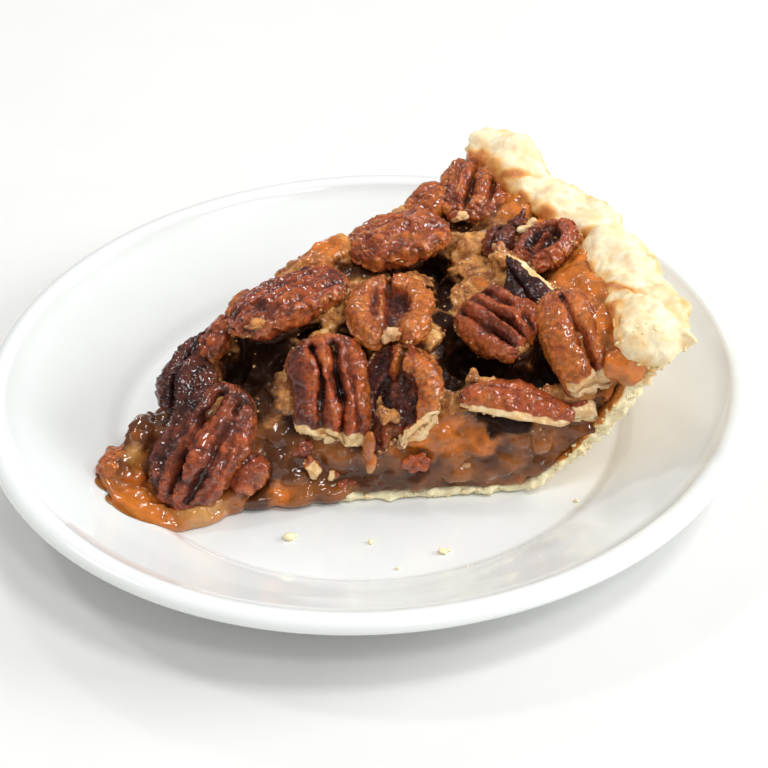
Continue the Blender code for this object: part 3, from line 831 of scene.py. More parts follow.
def build_crust(settings):
    mesh = evened(crust_skin(), settings.fineness)
    relax(mesh, 2)
    at = in_slice(points_of(mesh))
    normals = normals_of(mesh)
    reach, angle = np.hypot(at[:, 0], at[:, 1]), np.degrees(np.arctan2(at[:, 1], at[:, 0]))
    inner, outer = rim_edges(np.clip(angle, 0, SLICE_ANGLE))
    rim = ease(24, 31, at[:, 2])
    wall = ease(60, 92, reach)
    lift = lobes_at(np.clip(angle, 0, SLICE_ANGLE))[0] * 0.5
    across = (reach - (inner + outer) / 2) / (outer - inner) * 2
    off = np.hypot(across, (at[:, 2] - RIM_HEIGHT - lift) / (RIM_HALF_HEIGHT + lift))
    near_end = 1 - ease(-2, -0.6, at[:, 1])
    dome = 1.5 * near_end * np.sqrt(np.clip(1 - off**2, 0, 1))
    near_cut = near_end * ease(0.7, 1.15, off)
    cut = np.maximum(near_cut, 1 - ease(0, 1.2, (SLICE_ANGLE - angle) * reach * 0.0175))
    puffs = 2.3 * (pebbles(at, np.array([9.5, 9.5, 14.0]), 1) - 0.6) + 0.7 * (pebbles(at, 4.4, 11) - 0.5)
    puffs = (puffs + 0.4 * grain(at, 5.0, 2, 1)) * rim
    pinch, sunk, seep = np.zeros(len(at)), np.zeros(len(at)), np.zeros(len(at))
    for place, slant, depth in RIM_CREASES:
        away = (angle - place - slant * (reach - inner) / 10 + 0.7 * grain(at, 5.0, 1, 8)) * reach * 0.0175
        pinch = np.maximum(pinch, np.exp(-((away / 1.1) ** 2)) * (1 - 0.7 * ease(108, 116, reach)))
        seep = np.maximum(seep, (depth - 1.5) / 1.7 * np.exp(-((away / 1.9) ** 2)) * (1 - ease(105, 113, reach)))
        sunk = np.maximum(sunk, depth * np.exp(-((away / 1.3) ** 2)) * (1 - 0.5 * ease(108, 116, reach)))
    dimples = -sunk * rim - 0.5 * creases(at, 6.0, 0.07, 2) * rim
    rough = grain(at, 2.2, 3, 3) * (0.12 + 0.3 * rim) * wall
    flakes = grain(at, np.array([1.8, 2.4, 0.9]), 3, 4) * 0.95 * cut * ease(20, 50, reach)
    pores = -1.4 * ease(0.78, 0.95, pebbles(at, 3.4, 5)) * ease(0.2, 0.5, grain(at, 9.0, 1, 6)) * rim
    push = puffs + dimples * ease(0, 0.5, grain(at, 12.0, 1, 9)) + rough + flakes + pores * 0.5
    push = np.where(at[:, 2] < 0.6, 0, push)
    far = ease(36, SLICE_ANGLE, angle) * rim * 0.4
    ragged = near_cut * (1.1 * grain(at * (1, 0, 1), 3.0, 3, 12) + 0.2) + dome
    turn = math.radians(SLICE_ANGLE)
    aside = np.column_stack((-math.sin(turn) * far, math.cos(turn) * far - ragged, np.zeros(len(at))))
    moved = in_slice(points_of(mesh) + normals * (push * MM)[:, None]) + aside
    move_points(mesh, on_plate(moved))
    inside = ease(-1.0, 4.6, inner + 2.9 + 1.8 * ease(36, 40, angle) + 2.4 * grain(at, 4.0, 2, 7) - reach)
    line = np.maximum(pinch * (1 - ease(107, 114, reach)) * ease(0.1, 0.4, pinch), seep)
    radii, heights = zip(*FILLING_WALL)
    lined = reach - np.interp(at[:, 2], heights, radii) + 0.6 * grain(at, 2.0, 2, 13)
    soaked = (1 - ease(0.5, 1.3, lined)) * ease(4, 8, at[:, 2]) * (1 - ease(26, 29, at[:, 2]))
    corner = [(101.6, 20.5, 34.0, 5.0), (102.6, 16.5, 34.5, 4.6), (103.0, 12.0, 33.5, 4.2), (103.0, 8.0, 33.0, 4.0)]
    soaked = np.maximum(soaked, 0.85 * near_spots(at + 0.8 * grain(at, 3.0, 2, 14)[:, None], corner))
    soaked = np.maximum(soaked, near_end * near_spots(at, [(102.5, -2.2, 28.6, 6.0), (107.0, -2.2, 28.6, 5.0)]))
    outside = ease(-2.5, 1.0, reach - outer) * rim
    toast = 0.2 + 0.5 * outside + 0.3 * ease(0.1, 0.6, grain(at, 6.0, 2, 10)) + 0.2 * (1 - rim) * wall
    toast = np.maximum(toast * (1 - cut), 0.25 * pinch * rim)
    mask_points(
        mesh,
        toast=toast,
        caramel=np.maximum(np.maximum(inside * rim, line * rim), soaked),
        cut=cut * 0.8,
        crumbs=cut * np.maximum(0.8 * ease(50, 60, reach) * (1 - wall), wall * ease(2, 6, at[:, 2])),
    )
    return new_piece("pie_crust", mesh, pastry_finish(settings), "baked_crust", "crust")


# ------------------------------------------------------------------ filling
# Hollows between the nuts, as (x, y, reach, depth, darkness) in the slice's frame; darkness is how dark the painted
# shade on each hollow's floor is.
HOLLOWS = [
    (32.5, 16.5, 9.0, 4.0, 0.88), (39.5, 14.5, 4.5, 6.5, 0.95), (43.0, 20.5, 3.5, 7.0, 1.0),
    (51.5, 15.5, 4.5, 10.0, 1.0), (57.5, 12.5, 4.5, 10.0, 1.0), (62.9, 38.0, 4.0, 8.0, 1.0),
    (69.5, 38.5, 4.0, 7.0, 0.9), (70.6, 27.5, 5.0, 9.0, 1.0), (72.5, 33.0, 3.5, 6.0, 0.8),
    (75.0, 12.0, 6.0, 11.0, 1.0), (71.5, 7.5, 4.5, 6.0, 0.8), (90.5, 6.5, 4.6, 10.0, 1.0),
    (84.5, 3.5, 5.0, 8.0, 1.0), (27.0, 19.5, 5.0, 5.0, 0.9), (32.0, 9.5, 6.0, 1.5, 0.7), (80.0, -0.5, 3.6, 5.0, 0.9), (79.4, 8.0, 5.4, 9.0, 1.0),
]
# Where no light reaches, as (x, y, z, reach).
CAVITIES = [
    (74.5, 13.5, 20.0, 6.5), (82.8, 6.4, 13.0, 5.5), (91.6, 9.7, 21.0, 5.5), (62.9, 40.7, 27.0, 4.0), (70.4, 41.5, 27.0, 4.0),
    (41.7, 21.3, 24.0, 4.0), (38.1, 17.4, 21.0, 4.5), (52.4, 17.6, 22.0, 4.5), (58.4, 16.3, 22.0, 4.5), (70.3, 26.6, 25.0, 4.0),
    (71.9, 34.0, 27.0, 3.0), (73.6, 11.0, 15.0, 5.0), (87.0, 8.0, 20.0, 5.0), (81.0, 11.0, 20.0, 5.0), (91.0, 33.6, 30.6, 3.0),
    (76.8, 9.5, 24.2, 4.5), (91.7, 9.0, 22.4, 5.0), (89.0, 12.6, 20.6, 4.0), (60.7, 38.6, 28.0, 3.6),
    (70.4, 17.0, 28.0, 4.5), (70.8, 22.5, 28.5, 3.6), (69.4, 11.5, 25.0, 4.5), (80.5, -0.8, 16.8, 3.4), (84.0, -0.8, 16.6, 3.6),
    (77.0, -0.8, 17.6, 2.4), (49.0, 14.0, 24.0, 4.0),
]
# Lumps of set caramel that stand out of the filling: middle, radii and heading.
LUMPS = [
    ((47.4, 39.0, 30.0), (9.0, 4.6, 5.0), 42.0), ((41.4, 36.2, 28.8), (5.4, 4.2, 4.8), 42.0),
    ((67.0, 2.6, 12.8), (8.5, 4.8, 4.2), 2.0), ((75.0, 3.4, 12.2), (6.5, 4.4, 3.4), 6.0),
    ((57.0, 4.0, 5.6), (7.0, 5.4, 4.0), 0.0), ((37.5, 2.8, 5.4), (6.5, 4.8, 4.6), 0.0),
    ((28.0, 5.4, 6.0), (5.5, 4.2, 4.4), 10.0), ((86.5, 3.2, 9.0), (7.0, 4.0, 3.6), 30.0),
    ((103.0, -1.7, 29.6), (3.2, 1.9, 3.6), 0.0), ((106.2, -1.8, 30.0), (3.0, 1.6, 3.2), 0.0),
    ((104.6, -2.0, 27.0), (3.4, 1.6, 1.8), 0.0), ((19.0, 13.2, 10.0), (6.0, 5.0, 6.0), 40.0),
    ((26.5, 24.4, 20.0), (6.0, 4.0, 6.0), 42.0), ((36.0, 31.4, 26.4), (5.0, 3.6, 3.4), 42.0),
    ((66.0, 56.6, 28.0), (5.6, 4.0, 4.4), 42.0), ((33.0, 10.0, 11.0), (6.0, 4.5, 5.0), 30.0),
    ((31.0, -1.6, 1.7), (5.5, 3.0, 2.1), 0.0), ((38.5, -1.8, 1.6), (5.0, 2.8, 2.0), 0.0),
    ((45.5, -1.4, 1.7), (4.6, 2.4, 2.0), 0.0),
    ((54.0, -0.6, 3.4), (5.0, 2.4, 2.2), 0.0), ((62.0, -0.4, 4.6), (6.0, 2.6, 3.0), 0.0), ((72.0, -0.4, 4.8), (7.0, 2.6, 3.2), 0.0),
    ((82.0, 0.2, 5.4), (6.0, 2.6, 3.4), 10.0), ((90.0, 0.6, 12.0), (5.0, 2.4, 4.0), 40.0),
    ((50.0, 5.6, 10.0), (5.0, 5.4, 3.6), 20.0), ((42.0, 4.0, 9.4), (4.6, 4.6, 3.0), -20.0),
    ((62.0, 1.6, 4.6), (3.4, 3.0, 2.4), 0.0), ((69.5, 1.4, 5.4), (4.6, 3.0, 2.6), 10.0),
    ((25.0, 0.6, 2.2), (5.4, 3.6, 2.4), 0.0),
]
# Where the caramel is bright orange and glossy.
BRIGHT = [
    (46.0, 40.0, 34.0, 10.0), (66.0, -1.5, 14.0, 8.5), (71.5, -1.5, 14.5, 8.0), (77.0, -1.0, 13.0, 6.5), (36.0, -1.4, 2.0, 6.0),
    (105.0, -2.0, 30.0, 8.0), (25.0, 26.0, 26.0, 5.0), (54.0, 0.5, 10.0, 3.0), (79.0, 30.0, 31.0, 4.0), (101.0, -2.0, 24.0, 6.0),
    (86.0, 52.0, 31.0, 6.0), (59.0, -1.0, 11.0, 3.0), (46.0, 24.0, 31.0, 4.0),
]
# Golden froth that clings to the nuts: middle, radii and heading.
FROTH_LUMPS = [
    ((56.4, 0.2, 20.4), (1.5, 1.1, 1.2), 20.0), ((58.2, 0.0, 19.6), (1.7, 1.2, 1.3), 0.0),
    ((59.6, 0.2, 18.4), (1.4, 1.1, 1.1), 0.0), ((57.4, -0.2, 18.4), (1.4, 1.0, 1.1), 40.0),
    ((32.7, 15.9, 31.6), (2.6, 1.6, 1.2), 20.0),
    ((47.5, 22.4, 28.6), (4.4, 1.8, 1.8), 48.0), ((79.8, 8.4, 28.2), (1.7, 1.0, 0.9), -20.0),
    ((82.6, 7.8, 28.2), (1.7, 1.0, 1.0), 0.0), ((85.4, 7.6, 28.4), (1.4, 1.0, 0.9), 20.0), ((88.6, 20.6, 31.0), (2.2, 3.4, 2.8), -20.0),
    ((78.4, 43.4, 31.0), (4.4, 3.6, 2.4), 20.0), ((86.4, 50.6, 31.4), (3.0, 4.4, 2.0), 20.0),
    ((74.0, 24.6, 30.6), (3.2, 2.0, 2.2), 40.0), ((84.4, 34.4, 31.6), (3.0, 3.0, 2.2), 0.0),
    ((38.8, 6.8, 18.6), (1.2, 1.4, 3.4), 0.0), ((66.6, 8.0, 19.6), (2.0, 2.6, 4.0), 0.0),
]
# Bits of nut in the cut: middle, radii, heading, skin tone and how far the kernel shows.
BITS = [
    ((42.6, -1.0, 8.4), (1.4, 1.2, 2.6), 10.0, 0.2, 1.0), ((46.6, -1.0, 5.8), (1.0, 0.8, 1.0), 0.0, 0.2, 1.0),
    ((48.6, -0.8, 3.0), (2.6, 1.2, 1.1), 10.0, 0.35, 0.0), ((63.2, -2.4, 9.1), (2.6, 1.5, 1.7), -10.0, 0.3, 0.25),
    ((41.2, -0.2, 12.4), (2.0, 1.2, 1.2), 30.0, 0.5, 0.3), ((73.4, -0.8, 6.2), (1.3, 1.0, 1.2), 0.0, 0.1, 0.5),
    ((86.5, 0.4, 10.6), (1.6, 1.2, 1.0), 20.0, 0.5, 0.0), ((28.0, 25.6, 27.6), (1.8, 1.4, 1.2), 40.0, 0.1, 0.0),
    ((97.0, 43.4, 33.0), (1.6, 1.2, 1.2), 40.0, 0.3, 0.9), ((90.7, 43.8, 33.6), (2.2, 1.5, 1.5), 10.0, 0.1, 1.0), ((60.0, 10.4, 31.4), (2.2, 1.5, 1.3), 0.0, 0.2, 0.6),
    ((83.6, 37.0, 33.2), (1.2, 2.4, 1.2), 10.0, 0.2, 0.5), ((100.4, 30.0, 33.2), (1.8, 1.3, 1.2), 0.0, 0.5, 0.4),
    ((91.4, 29.4, 33.6), (2.0, 1.4, 1.2), 20.0, 0.3, 0.5), ((76.0, 50.4, 33.2), (1.8, 1.4, 1.2), 0.0, 0.3, 0.7),
    ((99.0, 22.0, 33.0), (2.0, 1.4, 1.2), 60.0, 0.2, 0.3), ((88.6, 46.6, 33.4), (2.6, 1.6, 1.6), 60.0, 0.7, 0.0),
]


def filling_height(x, y, reach):
    """Top of the filling: level, low at the point, and slumped along the near cut."""
    lumps = 0.9 * np.sin(x * 0.31 + 0.6) * np.cos(y * 0.37 + 0.4) * np.minimum(1.0, reach / 60)
    slope = on_line(CUT_EDGE, reach) + SLUMP_SLOPE * np.maximum(0.0, y)
    top = np.minimum(on_line(TIP_RISE, reach) + lumps, slope) + 4.6 * ease(93, 104.0, reach) * ease(2, 9, y)
    for hollow_x, hollow_y, wide, deep, _ in HOLLOWS:
        top = top - deep * (1 - ease(0.45, 1, np.hypot(x - hollow_x, y - hollow_y) / wide))
    return np.maximum(CRUST_FLOOR + 1.0, top)


def painted_hollow_shade_at(points):
    """Painted shade: 1 low inside a hollow, times its darkness, and 0 outside, from points of the slice's frame."""
    inside = np.zeros(len(points))
    for x, y, wide, _, dark in HOLLOWS:
        middle = 1 - ease(0.55, 1.05, np.hypot(points[:, 0] - x, points[:, 1] - y) / wide)
        inside = np.maximum(inside, middle * dark)
    full = filling_height(points[:, 0], points[:, 1], np.hypot(points[:, 0], points[:, 1]))
    above = points[:, 2] - full
    return inside * (1 - ease(2.0, 6.0, above)) * ease(-4.5, -2.5, above)


def filling_skin():
    """The wedge swept across the slice, with the lumps laid into it."""
    angles = np.linspace(0, SLICE_ANGLE, 84)
    reaches = np.linspace(FILLING_WALL[-1][0] - 0.6, TIP_CUT, 110)
    under = [(TIP_CUT, 1.8), (48.0, 1.8)] + FILLING_WALL
    points = []
    for angle in angles:
        turn = math.radians(angle)
        out = 2.2 * max(0.0, 1 - angle / 1.5)
        points += [(r * math.cos(turn), r * math.sin(turn) - out * (1 - z / 40), z) for r, z in under]
        share = max(0.0, angle / SLICE_ANGLE - 0.7) / 0.3
        sag = FAR_CUT_BULGE * share * np.sin(np.pi * np.minimum(1.0, reaches / 98.0)) ** 0.7
        x = reaches * math.cos(turn) - sag * math.sin(turn)
        y = reaches * math.sin(turn) + sag * math.cos(turn)
        points += list(zip(x, y, filling_height(x, y, reaches)))
    count = len(points) // len(angles)
    points = [np.array(points)]
    faces = capped_faces(len(angles), count)
    shapes = [ball(middle, radii, heading) for middle, radii, heading in LUMPS + FROTH_LUMPS]
    for _, middle, size, turns, *_ in PECANS:
        if middle[2] > 15:
            under = 0.8 * size[2] if abs(turns[2]) > 90 else -0.56 * size[2]
            low = np.array(middle) + np.array(pecan_turn(turns)) @ (0, 0, under)
            shapes.append(ball(low, (size[0] * 0.4, size[1] * 0.4, size[2] * 0.4), *turns))
    for shape in shapes:
        first = sum(len(part) for part in points)
        faces += poled_faces(14, 20, first)
        points.append(shape)
    return closed_mesh(on_plate(np.vstack(points)), faces)


def build_filling(settings):
    mesh = evened(filling_skin(), settings.fineness)
    relax(mesh, 3)
    at = in_slice(points_of(mesh))
    normals = normals_of(mesh)
    reach, angle = np.hypot(at[:, 0], at[:, 1]), np.degrees(np.arctan2(at[:, 1], at[:, 0]))
    inner = rim_edges(np.clip(angle, 0, SLICE_ANGLE))[0]
    # Painted shade: near black in the hollows between the nuts.
    hollow = painted_hollow_shade_at(at)
    # Painted shade under and beside the nuts, where little light gets in.
    shaded = under_nuts(at) * ease(9, 14, at[:, 2]) * ease(0.5, 3.5, at[:, 1])
    bright = near_spots(at, BRIGHT)
    band = ease(-7.0, -3.0, reach - inner + 2.5 * grain(at, 5.0, 2, 30)) * ease(24, 28, at[:, 2])
    high = ease(13, 21, at[:, 2] + 3 * grain(at, 8.0, 2, 31)) * (1 - band)
    clinging = near_spots(at, [(*middle, 1.1 * max(radii)) for middle, radii, _ in FROTH_LUMPS])
    froth = np.maximum(high * (1 - 0.85 * bright), ease(0.1, 0.5, clinging))
    base = at[:, 2] < 2.3
    push = grain(at, 6.0, 2, 32) * (0.7 + 0.5 * high)
    hidden = near_nuts(at, 0.8, 1.15)
    hidden = hidden * (1 - ease(0.05, 0.3, clinging))
    push += froth * (1 - hidden) * 0.6 * (grain(at, 2.2, 3, 33) + pebbles(at, 1.7, 34) - 0.5 - 0.4 * creases(at, 3.4, 0.12, 35))
    push += (1 - froth) * (0.4 * grain(at, 2.4, 3, 36) + 1.1 * (pebbles(at, 4.8, 37) - 0.5))
    push += (1 - froth) * 0.3 * (pebbles(at, 1.9, 39) - 0.5)
    amber = ease(-0.5, 0.5, grain(at, 8.0, 2, 38) + 0.25 * (pebbles(at, 4.8, 37) - 0.5) - 0.1)
    push = np.where(base, 0, push)
    move_points(mesh, points_of(mesh) + normals * (push * MM)[:, None])
    relax(mesh, 1, 0.3)
    # How far each point was pushed in; the froth's pits are painted darker as shade.
    pit_shade = ease(0.0, 1.6, -push + 0.2)
    on_top = ease(0.1, 0.7, normals_of(mesh)[:, 2])
    # Painted shade: the filling under the nuts and the cavities where no light reaches are painted near black, and the
    # froth is dulled there and in its pits.
    hollow = np.maximum(hollow, 0.75 * shaded * (1 - ease(0.1, 0.4, clinging)))
    hollow = np.maximum(hollow, ease(0.0, 0.35, near_spots(at, CAVITIES)))
    golden = froth * (0.5 + 0.5 * on_top) * (1 - 0.9 * hollow) * (1 - 0.35 * pit_shade)
    golden = np.maximum(golden, ease(0.1, 0.4, clinging) * (1 - 0.4 * pit_shade))
    mask_points(
        mesh,
        froth=golden,
        bright=np.maximum(bright, band * 0.8) * (1 - hollow),
        # Cream tips of the froth, partly painted highlight.
        fleck=ease(0.35, 1.1, push) * golden,
        amber=amber * (1 - froth),
        # Painted shade for the hollows, the cavities and the froth's pits.
        hollow=np.maximum(hollow * 1.15 - 0.05, 0.3 * pit_shade * froth),
        crumbs=golden * (0.2 + 0.8 * near_nuts(at, 1.1, 1.7)) * (1 - band) * (1 - hidden),
    )
    return new_piece("custard_filling", mesh, custard_finish(settings), "caramel_filling", "filling")


def near_nuts(points, inside, outside):
    """1 within a nut's own size times inside, and 0 beyond its size times outside."""
    closest = np.full(len(points), 9.0)
    for _, middle, size, turns, *_ in PECANS:
        local = (points - middle) @ np.array(pecan_turn(turns))
        away = np.linalg.norm(local / (np.array(size) / 2), axis=1)
        closest = np.minimum(closest, away)
    return 1 - ease(inside, outside, closest)


def under_nuts(points):
    """1 close beside and below a nut, where little light gets in."""
    shade = np.zeros(len(points))
    for _, middle, size, turns, *_ in PECANS:
        local = (points - middle) @ np.array(pecan_turn(turns))
        away = np.linalg.norm(local / (np.array(size) / 2 + 1.6), axis=1)
        shade = np.maximum(shade, (1 - ease(1.0, 1.35, away)) * ease(0.5, 3.5, middle[2] - points[:, 2]))
    return shade


# ------------------------------------------------------------------ runny caramel
POOL_LUMPS = [
    ((4.4, 6.4, 3.6), (4.4, 4.6, 4.2), 20.0), ((7.8, 10.6, 5.4), (5.6, 4.4, 5.6), 48.0), ((2.0, 3.4, 1.8), (3.6, 3.6, 2.6), 0.0),
    ((8.0, -4.8, 1.2), (6.4, 4.0, 2.8), -24.0), ((14.5, -6.4, 1.0), (5.6, 3.2, 2.2), 8.0), ((20.4, -4.8, 1.2), (5.4, 3.2, 2.8), 20.0),
    ((25.6, -2.4, 1.6), (3.8, 2.6, 2.8), 0.0), ((5.0, -1.8, 1.6), (4.4, 3.4, 3.0), 30.0), ((13.0, 14.4, 6.6), (6.6, 4.2, 5.0), 46.0),
    ((10.0, 13.6, 7.6), (6.0, 3.6, 4.8), 48.0), ((1.6, 8.6, 2.6), (3.2, 3.4, 2.8), 50.0),
]


# The pool's outline as (direction in degrees, reach) from its middle.
POOL_MIDDLE = (11.0, 3.2)
POOL_EDGE = [
    (-180.0, 11.4), (-150.0, 10.4), (-110.0, 10.4), (-77.0, 13.0), (-45.0, 14.6), (-17.0, 17.0), (20.0, 14.0),
    (80.0, 13.0), (120.0, 16.0), (145.0, 14.6), (165.0, 12.2), (180.0, 11.4),
]


def plate_level(x, y):
    """Height of the plate's upper side under points of the slice's frame."""
    across, along = on_plate(np.column_stack((x, y, np.zeros(len(x)))))[:, :2].T / MM
    outline = [(0.0, PLATE_FLOOR), (WELL_RADIUS, PLATE_FLOOR), RISER, RIM_BREAK]
    radii, heights = zip(*outline)
    return np.interp(np.hypot(across, along), radii, heights) - PLATE_FLOOR


def build_pool(settings):
    count, rings = 72, 9
    turn = math.tau * np.arange(count) / count
    edge = on_line(POOL_EDGE, np.degrees((turn + np.pi) % math.tau - np.pi)) + 0.3 * np.sin(7 * turn)
    points = []
    for ring in range(rings):
        share = math.sin(math.pi / 2 * (rings - ring) / rings)
        x = POOL_MIDDLE[0] + share * edge * np.cos(turn)
        y = POOL_MIDDLE[1] + share * edge * np.sin(turn)
        full = 2.4 + 0.42 * np.maximum(0.0, y - 3.2)
        points += list(zip(x, y, plate_level(x, y) + full * math.cos(math.pi / 2 * (rings - ring) / rings) ** 0.7 - 0.2))
    x, y = POOL_MIDDLE[0] + 0.5 * edge * np.cos(turn), POOL_MIDDLE[1] + 0.5 * edge * np.sin(turn)
    points = list(zip(x, y, plate_level(x, y) - 0.8)) + points
    points = [np.array(points)]
    faces = capped_faces(rings + 1, count)
    for middle, radii, heading in POOL_LUMPS:
        faces += poled_faces(14, 20, sum(len(part) for part in points))
        points.append(ball(middle, radii, heading))
    mesh = evened(closed_mesh(on_plate(np.vstack(points)), faces), 0.38)
    relax(mesh, 4)
    at = in_slice(points_of(mesh))
    level = plate_level(at[:, 0], at[:, 1])
    push = (1.5 * grain(at, 4.4, 2, 51) + 0.4 * grain(at, 1.6, 2, 52)) * ease(0.4, 3.0, at[:, 2] - level)
    at = at + in_slice_turn(normals_of(mesh)) * push[:, None]
    at[:, 2] = np.maximum(at[:, 2], level - 0.25)
    move_points(mesh, on_plate(at))
    brown = ease(4.5, 9.0, at[:, 2]) * 0.6 + near_spots(at, [(2.0, 5.0, 7.0, 5.0), (9.0, 13.0, 9.0, 8.0)]) * 0.5
    milky = near_spots(at, [(20.0, -6.0, 2.0, 9.0), (6.5, 6.5, 8.0, 4.0)])
    mask_points(mesh, brown=brown, milky=milky)
    return new_piece("caramel_pool", mesh, caramel_finish(settings), "clear_caramel", "caramel_ooze")


def in_slice_turn(directions):
    """World directions turned into the slice's frame."""
    turn = np.array(Matrix.Rotation(-SLICE_TURN, 3, "Z"))
    return directions @ turn.T


def build_drips(settings):
    """Strings of caramel that hang from the nuts."""
    drips = [
        ((54.0, -1.8, 13.4), (3.6, 1.6, 1.3), 0.0, 82.0), ((54.3, -2.5, 9.4), (2.4, 1.3, 1.1), 0.0, 74.0),
        ((56.2, 15.2, 25.6), (2.6, 1.0, 0.9), 90.0, 60.0), ((56.0, 14.2, 23.6), (1.5, 1.3, 1.2), 0.0, 40.0),
    ]
    points, faces = [], []
    for middle, radii, heading, pitch in drips:
        faces += poled_faces(14, 20, sum(len(part) for part in points))
        points.append(ball(middle, radii, heading, pitch))
    mesh = evened(closed_mesh(on_plate(np.vstack(points)), faces), 0.25)
    relax(mesh, 3)
    at = in_slice(points_of(mesh))
    move_points(mesh, on_plate(at + in_slice_turn(normals_of(mesh)) * 0.25 * grain(at, 1.6, 2, 61)[:, None]))
    mask_points(mesh, milky=near_spots(at, [(54.3, -2.6, 8.2, 3.4)]), brown=np.zeros(len(at)))
    return new_piece("caramel_drips", mesh, caramel_finish(settings, "caramel drips"), "clear_caramel")


# ------------------------------------------------------------------ pecans
# Name, middle (x, y, z in the slice's frame), size (length, width, thickness),
# turns (heading of the long axis, its pitch, and roll about it: about 180 shows the flat side),
# skin (0 orange, 0.33 red, 0.66 purple, 1 plum), how wrinkled it is, its furrows as (place across
# from -1 to 1, depth), and the breaks: each is the way it faces (x, y, z along the nut), how far
# out it lies, as a share of the nut's half size that way, and how much of its kernel shows.
PECANS = [
    ("pecan_01", (21.0, 3.4, 11.6), (28.0, 18.5, 7.5), (48, 38, 8), 0.42, 0.7,
     [(0.1, 1.1), (-0.4, 0.8), (0.5, 0.35), (-0.72, 0.4)], []),
    ("pecan_02", (18.8, 16.6, 19.6), (18.5, 12.6, 8.0), (66, 38, -10), 0.84, 0.65, [(0.15, 0.7), (-0.5, 0.4)], [((0.3, -0.6, 0.75), 0.62, 0.0)]),
    ("pecan_03", (39.0, 25.4, 30.6), (26.5, 16.5, 7.0), (27, 10, -12), 0.34, 0.7,
     [(0.1, 0.8), (-0.32, 0.7), (0.48, 0.6), (-0.7, 0.5), (0.78, 0.4)], []),
    ("pecan_04", (59.8, 19.2, 30.8), (22.5, 17.8, 6.5), (88, 2, 180), 0.08, 0.7, [(0.0, 0.8)], []),
    ("pecan_05", (47.0, 5.8, 20.6), (24.6, 15.4, 7.5), (97, 52, -4), 0.24, 0.4,
     [(0.3, 1.4), (-0.16, 1.4), (-0.6, 0.6)], [((-1, 0.36, 0.1), 0.7, 1.0)]),
    ("pecan_06", (60.6, 3.4, 20.2), (22.0, 18.0, 6.5), (74, 54, 170), 0.14, 0.8, [(0.0, 0.8)],
     [((-0.8, 0.75, -0.3), 0.72, 1.0)]),
    ("pecan_07", (62.6, 44.2, 32.4), (22.5, 18.0, 7.0), (20, 6, -8), 0.20, 0.7,
     [(0.3, 0.8), (-0.08, 0.4), (-0.42, 0.8), (0.68, 0.5), (-0.74, 0.4)], []),
    ("pecan_08", (80.6, 61.4, 33.0), (19.5, 16.0, 7.0), (72, 12, 4), 0.16, 0.9,
     [(-0.45, 0.7), (0.05, 0.9), (0.5, 0.5)], []),
    ("pecan_09", (70.2, 59.6, 30.6), (12.0, 9.0, 7.0), (36, 20, 0), 0.16, 0.6, [(0.1, 0.4)], []),
    ("pecan_10", (81.2, 14.8, 29.8), (18.5, 15.4, 7.2), (-50, -4, 20), 0.26, 0.35,
     [(-0.42, 1.0), (0.06, 1.3), (0.5, 0.9)], [((1, 0.1, 0), 0.92, 0.25)]),
    ("pecan_11", (87.4, 21.0, 32.0), (19.0, 10.0, 6.4), (-61, -30, 22), 1.0, 0.4, [(0.0, 0.5)],
     [((-0.3, 0.95, 0), 0.82, 0.9), ((-0.5, -0.86, 0), 0.6, 0.0)]),
    ("pecan_12", (93.2, 35.6, 33.8), (15.0, 12.5, 6.5), (48, 14, 165), 0.44, 0.6, [(0.0, 0.5)], []),
    ("pecan_13", (84.4, 43.0, 31.4), (10.4, 6.4, 5.2), (60, 8, 0), 0.70, 0.6, [(0.1, 0.9)], [((1, 0.4, 0), 0.6, 0.3)]),
    ("pecan_14", (96.4, 8.0, 28.8), (24.0, 14.0, 7.2), (-69, -31, 6), 0.08, 0.3, [(0.04, 1.3), (0.66, 0.4)],
     [((1, 0, 0.25), 0.8, 0.7)]),
    ("pecan_15", (83.4, -0.9, 20.6), (22.8, 9.8, 6.2), (-5, -13, 34), 0.3, 0.2, [(0.45, 0.2)],
     [((0, -0.93, -0.3), 0.5, 0.75)]),
    ("pecan_16", (97.0, -0.4, 17.4), (6.4, 6.4, 5.6), (-6, 8, 20), 0.26, 0.3, [(0.0, 0.2)],
     [((0, -1, 0), 0.3, 1.0), ((1, 0, 0), 0.7, 1.0)]),
    ("pecan_17", (30.4, 28.8, 27.4), (8.0, 6.5, 5.0), (44, 26, 0), 0.06, 0.5, [(0.0, 0.3)], []),
    ("pecan_18", (25.0, 23.4, 24.2), (13.0, 6.6, 4.8), (42, 22, 0), 0.40, 0.6, [(0.1, 0.4)], []),
    ("pecan_19", (79.0, 0.6, 6.4), (12.0, 5.5, 5.0), (-4, 8, 0), 0.40, 0.5, [(0.0, 0.3)], [((0, -1, 0.5), 0.8, 0.45)]),
    ("pecan_20", (2.4, 7.0, 5.2), (8.5, 6.5, 4.5), (40, 14, 0), 0.06, 0.4, [(0.0, 0.3)], []),
    ("pecan_21", (29.6, -1.0, 7.4), (9.5, 7.0, 5.5), (34, 34, 0), 0.44, 0.3, [(0.0, 0.3)], []),
]
WHOLE_NUT = 14.0  # a shorter nut is a broken piece, with a coarser mesh
# How squared off an outline is, where it isn't the usual 2.8.
BLUNT = {"pecan_05": 4.2, "pecan_10": 3.2, "pecan_14": 3.6, "pecan_07": 3.2, "pecan_15": 1.35, "pecan_11": 1.6}
# How far in the scrolled rims of the flat side reach, how wide they gape at one end, and how much
# of the left rim is gone.
SCROLLS = {"pecan_04": (0.68, 1.0, 0.0), "pecan_06": (0.6, 0.5, 0.75)}
# How much narrower a nut grows towards its far end.
TAPER = {"pecan_15": 0.2, "pecan_02": 0.5, "pecan_05": -0.12, "pecan_11": -0.2}
# How ragged the breaks are, where they aren't as ragged as usual.
CLEAN = {"pecan_15": 0.2, "pecan_16": 0.5, "pecan_11": 0.6}
# Nuts that are darker along one side, by how much (below zero on the other side) and from how far out.
SIDE_TONE = {"pecan_01": (0.3, 0.2), "pecan_05": (0.42, 0.44), "pecan_03": (0.1, 0.2), "pecan_06": (-0.6, 0.1)}
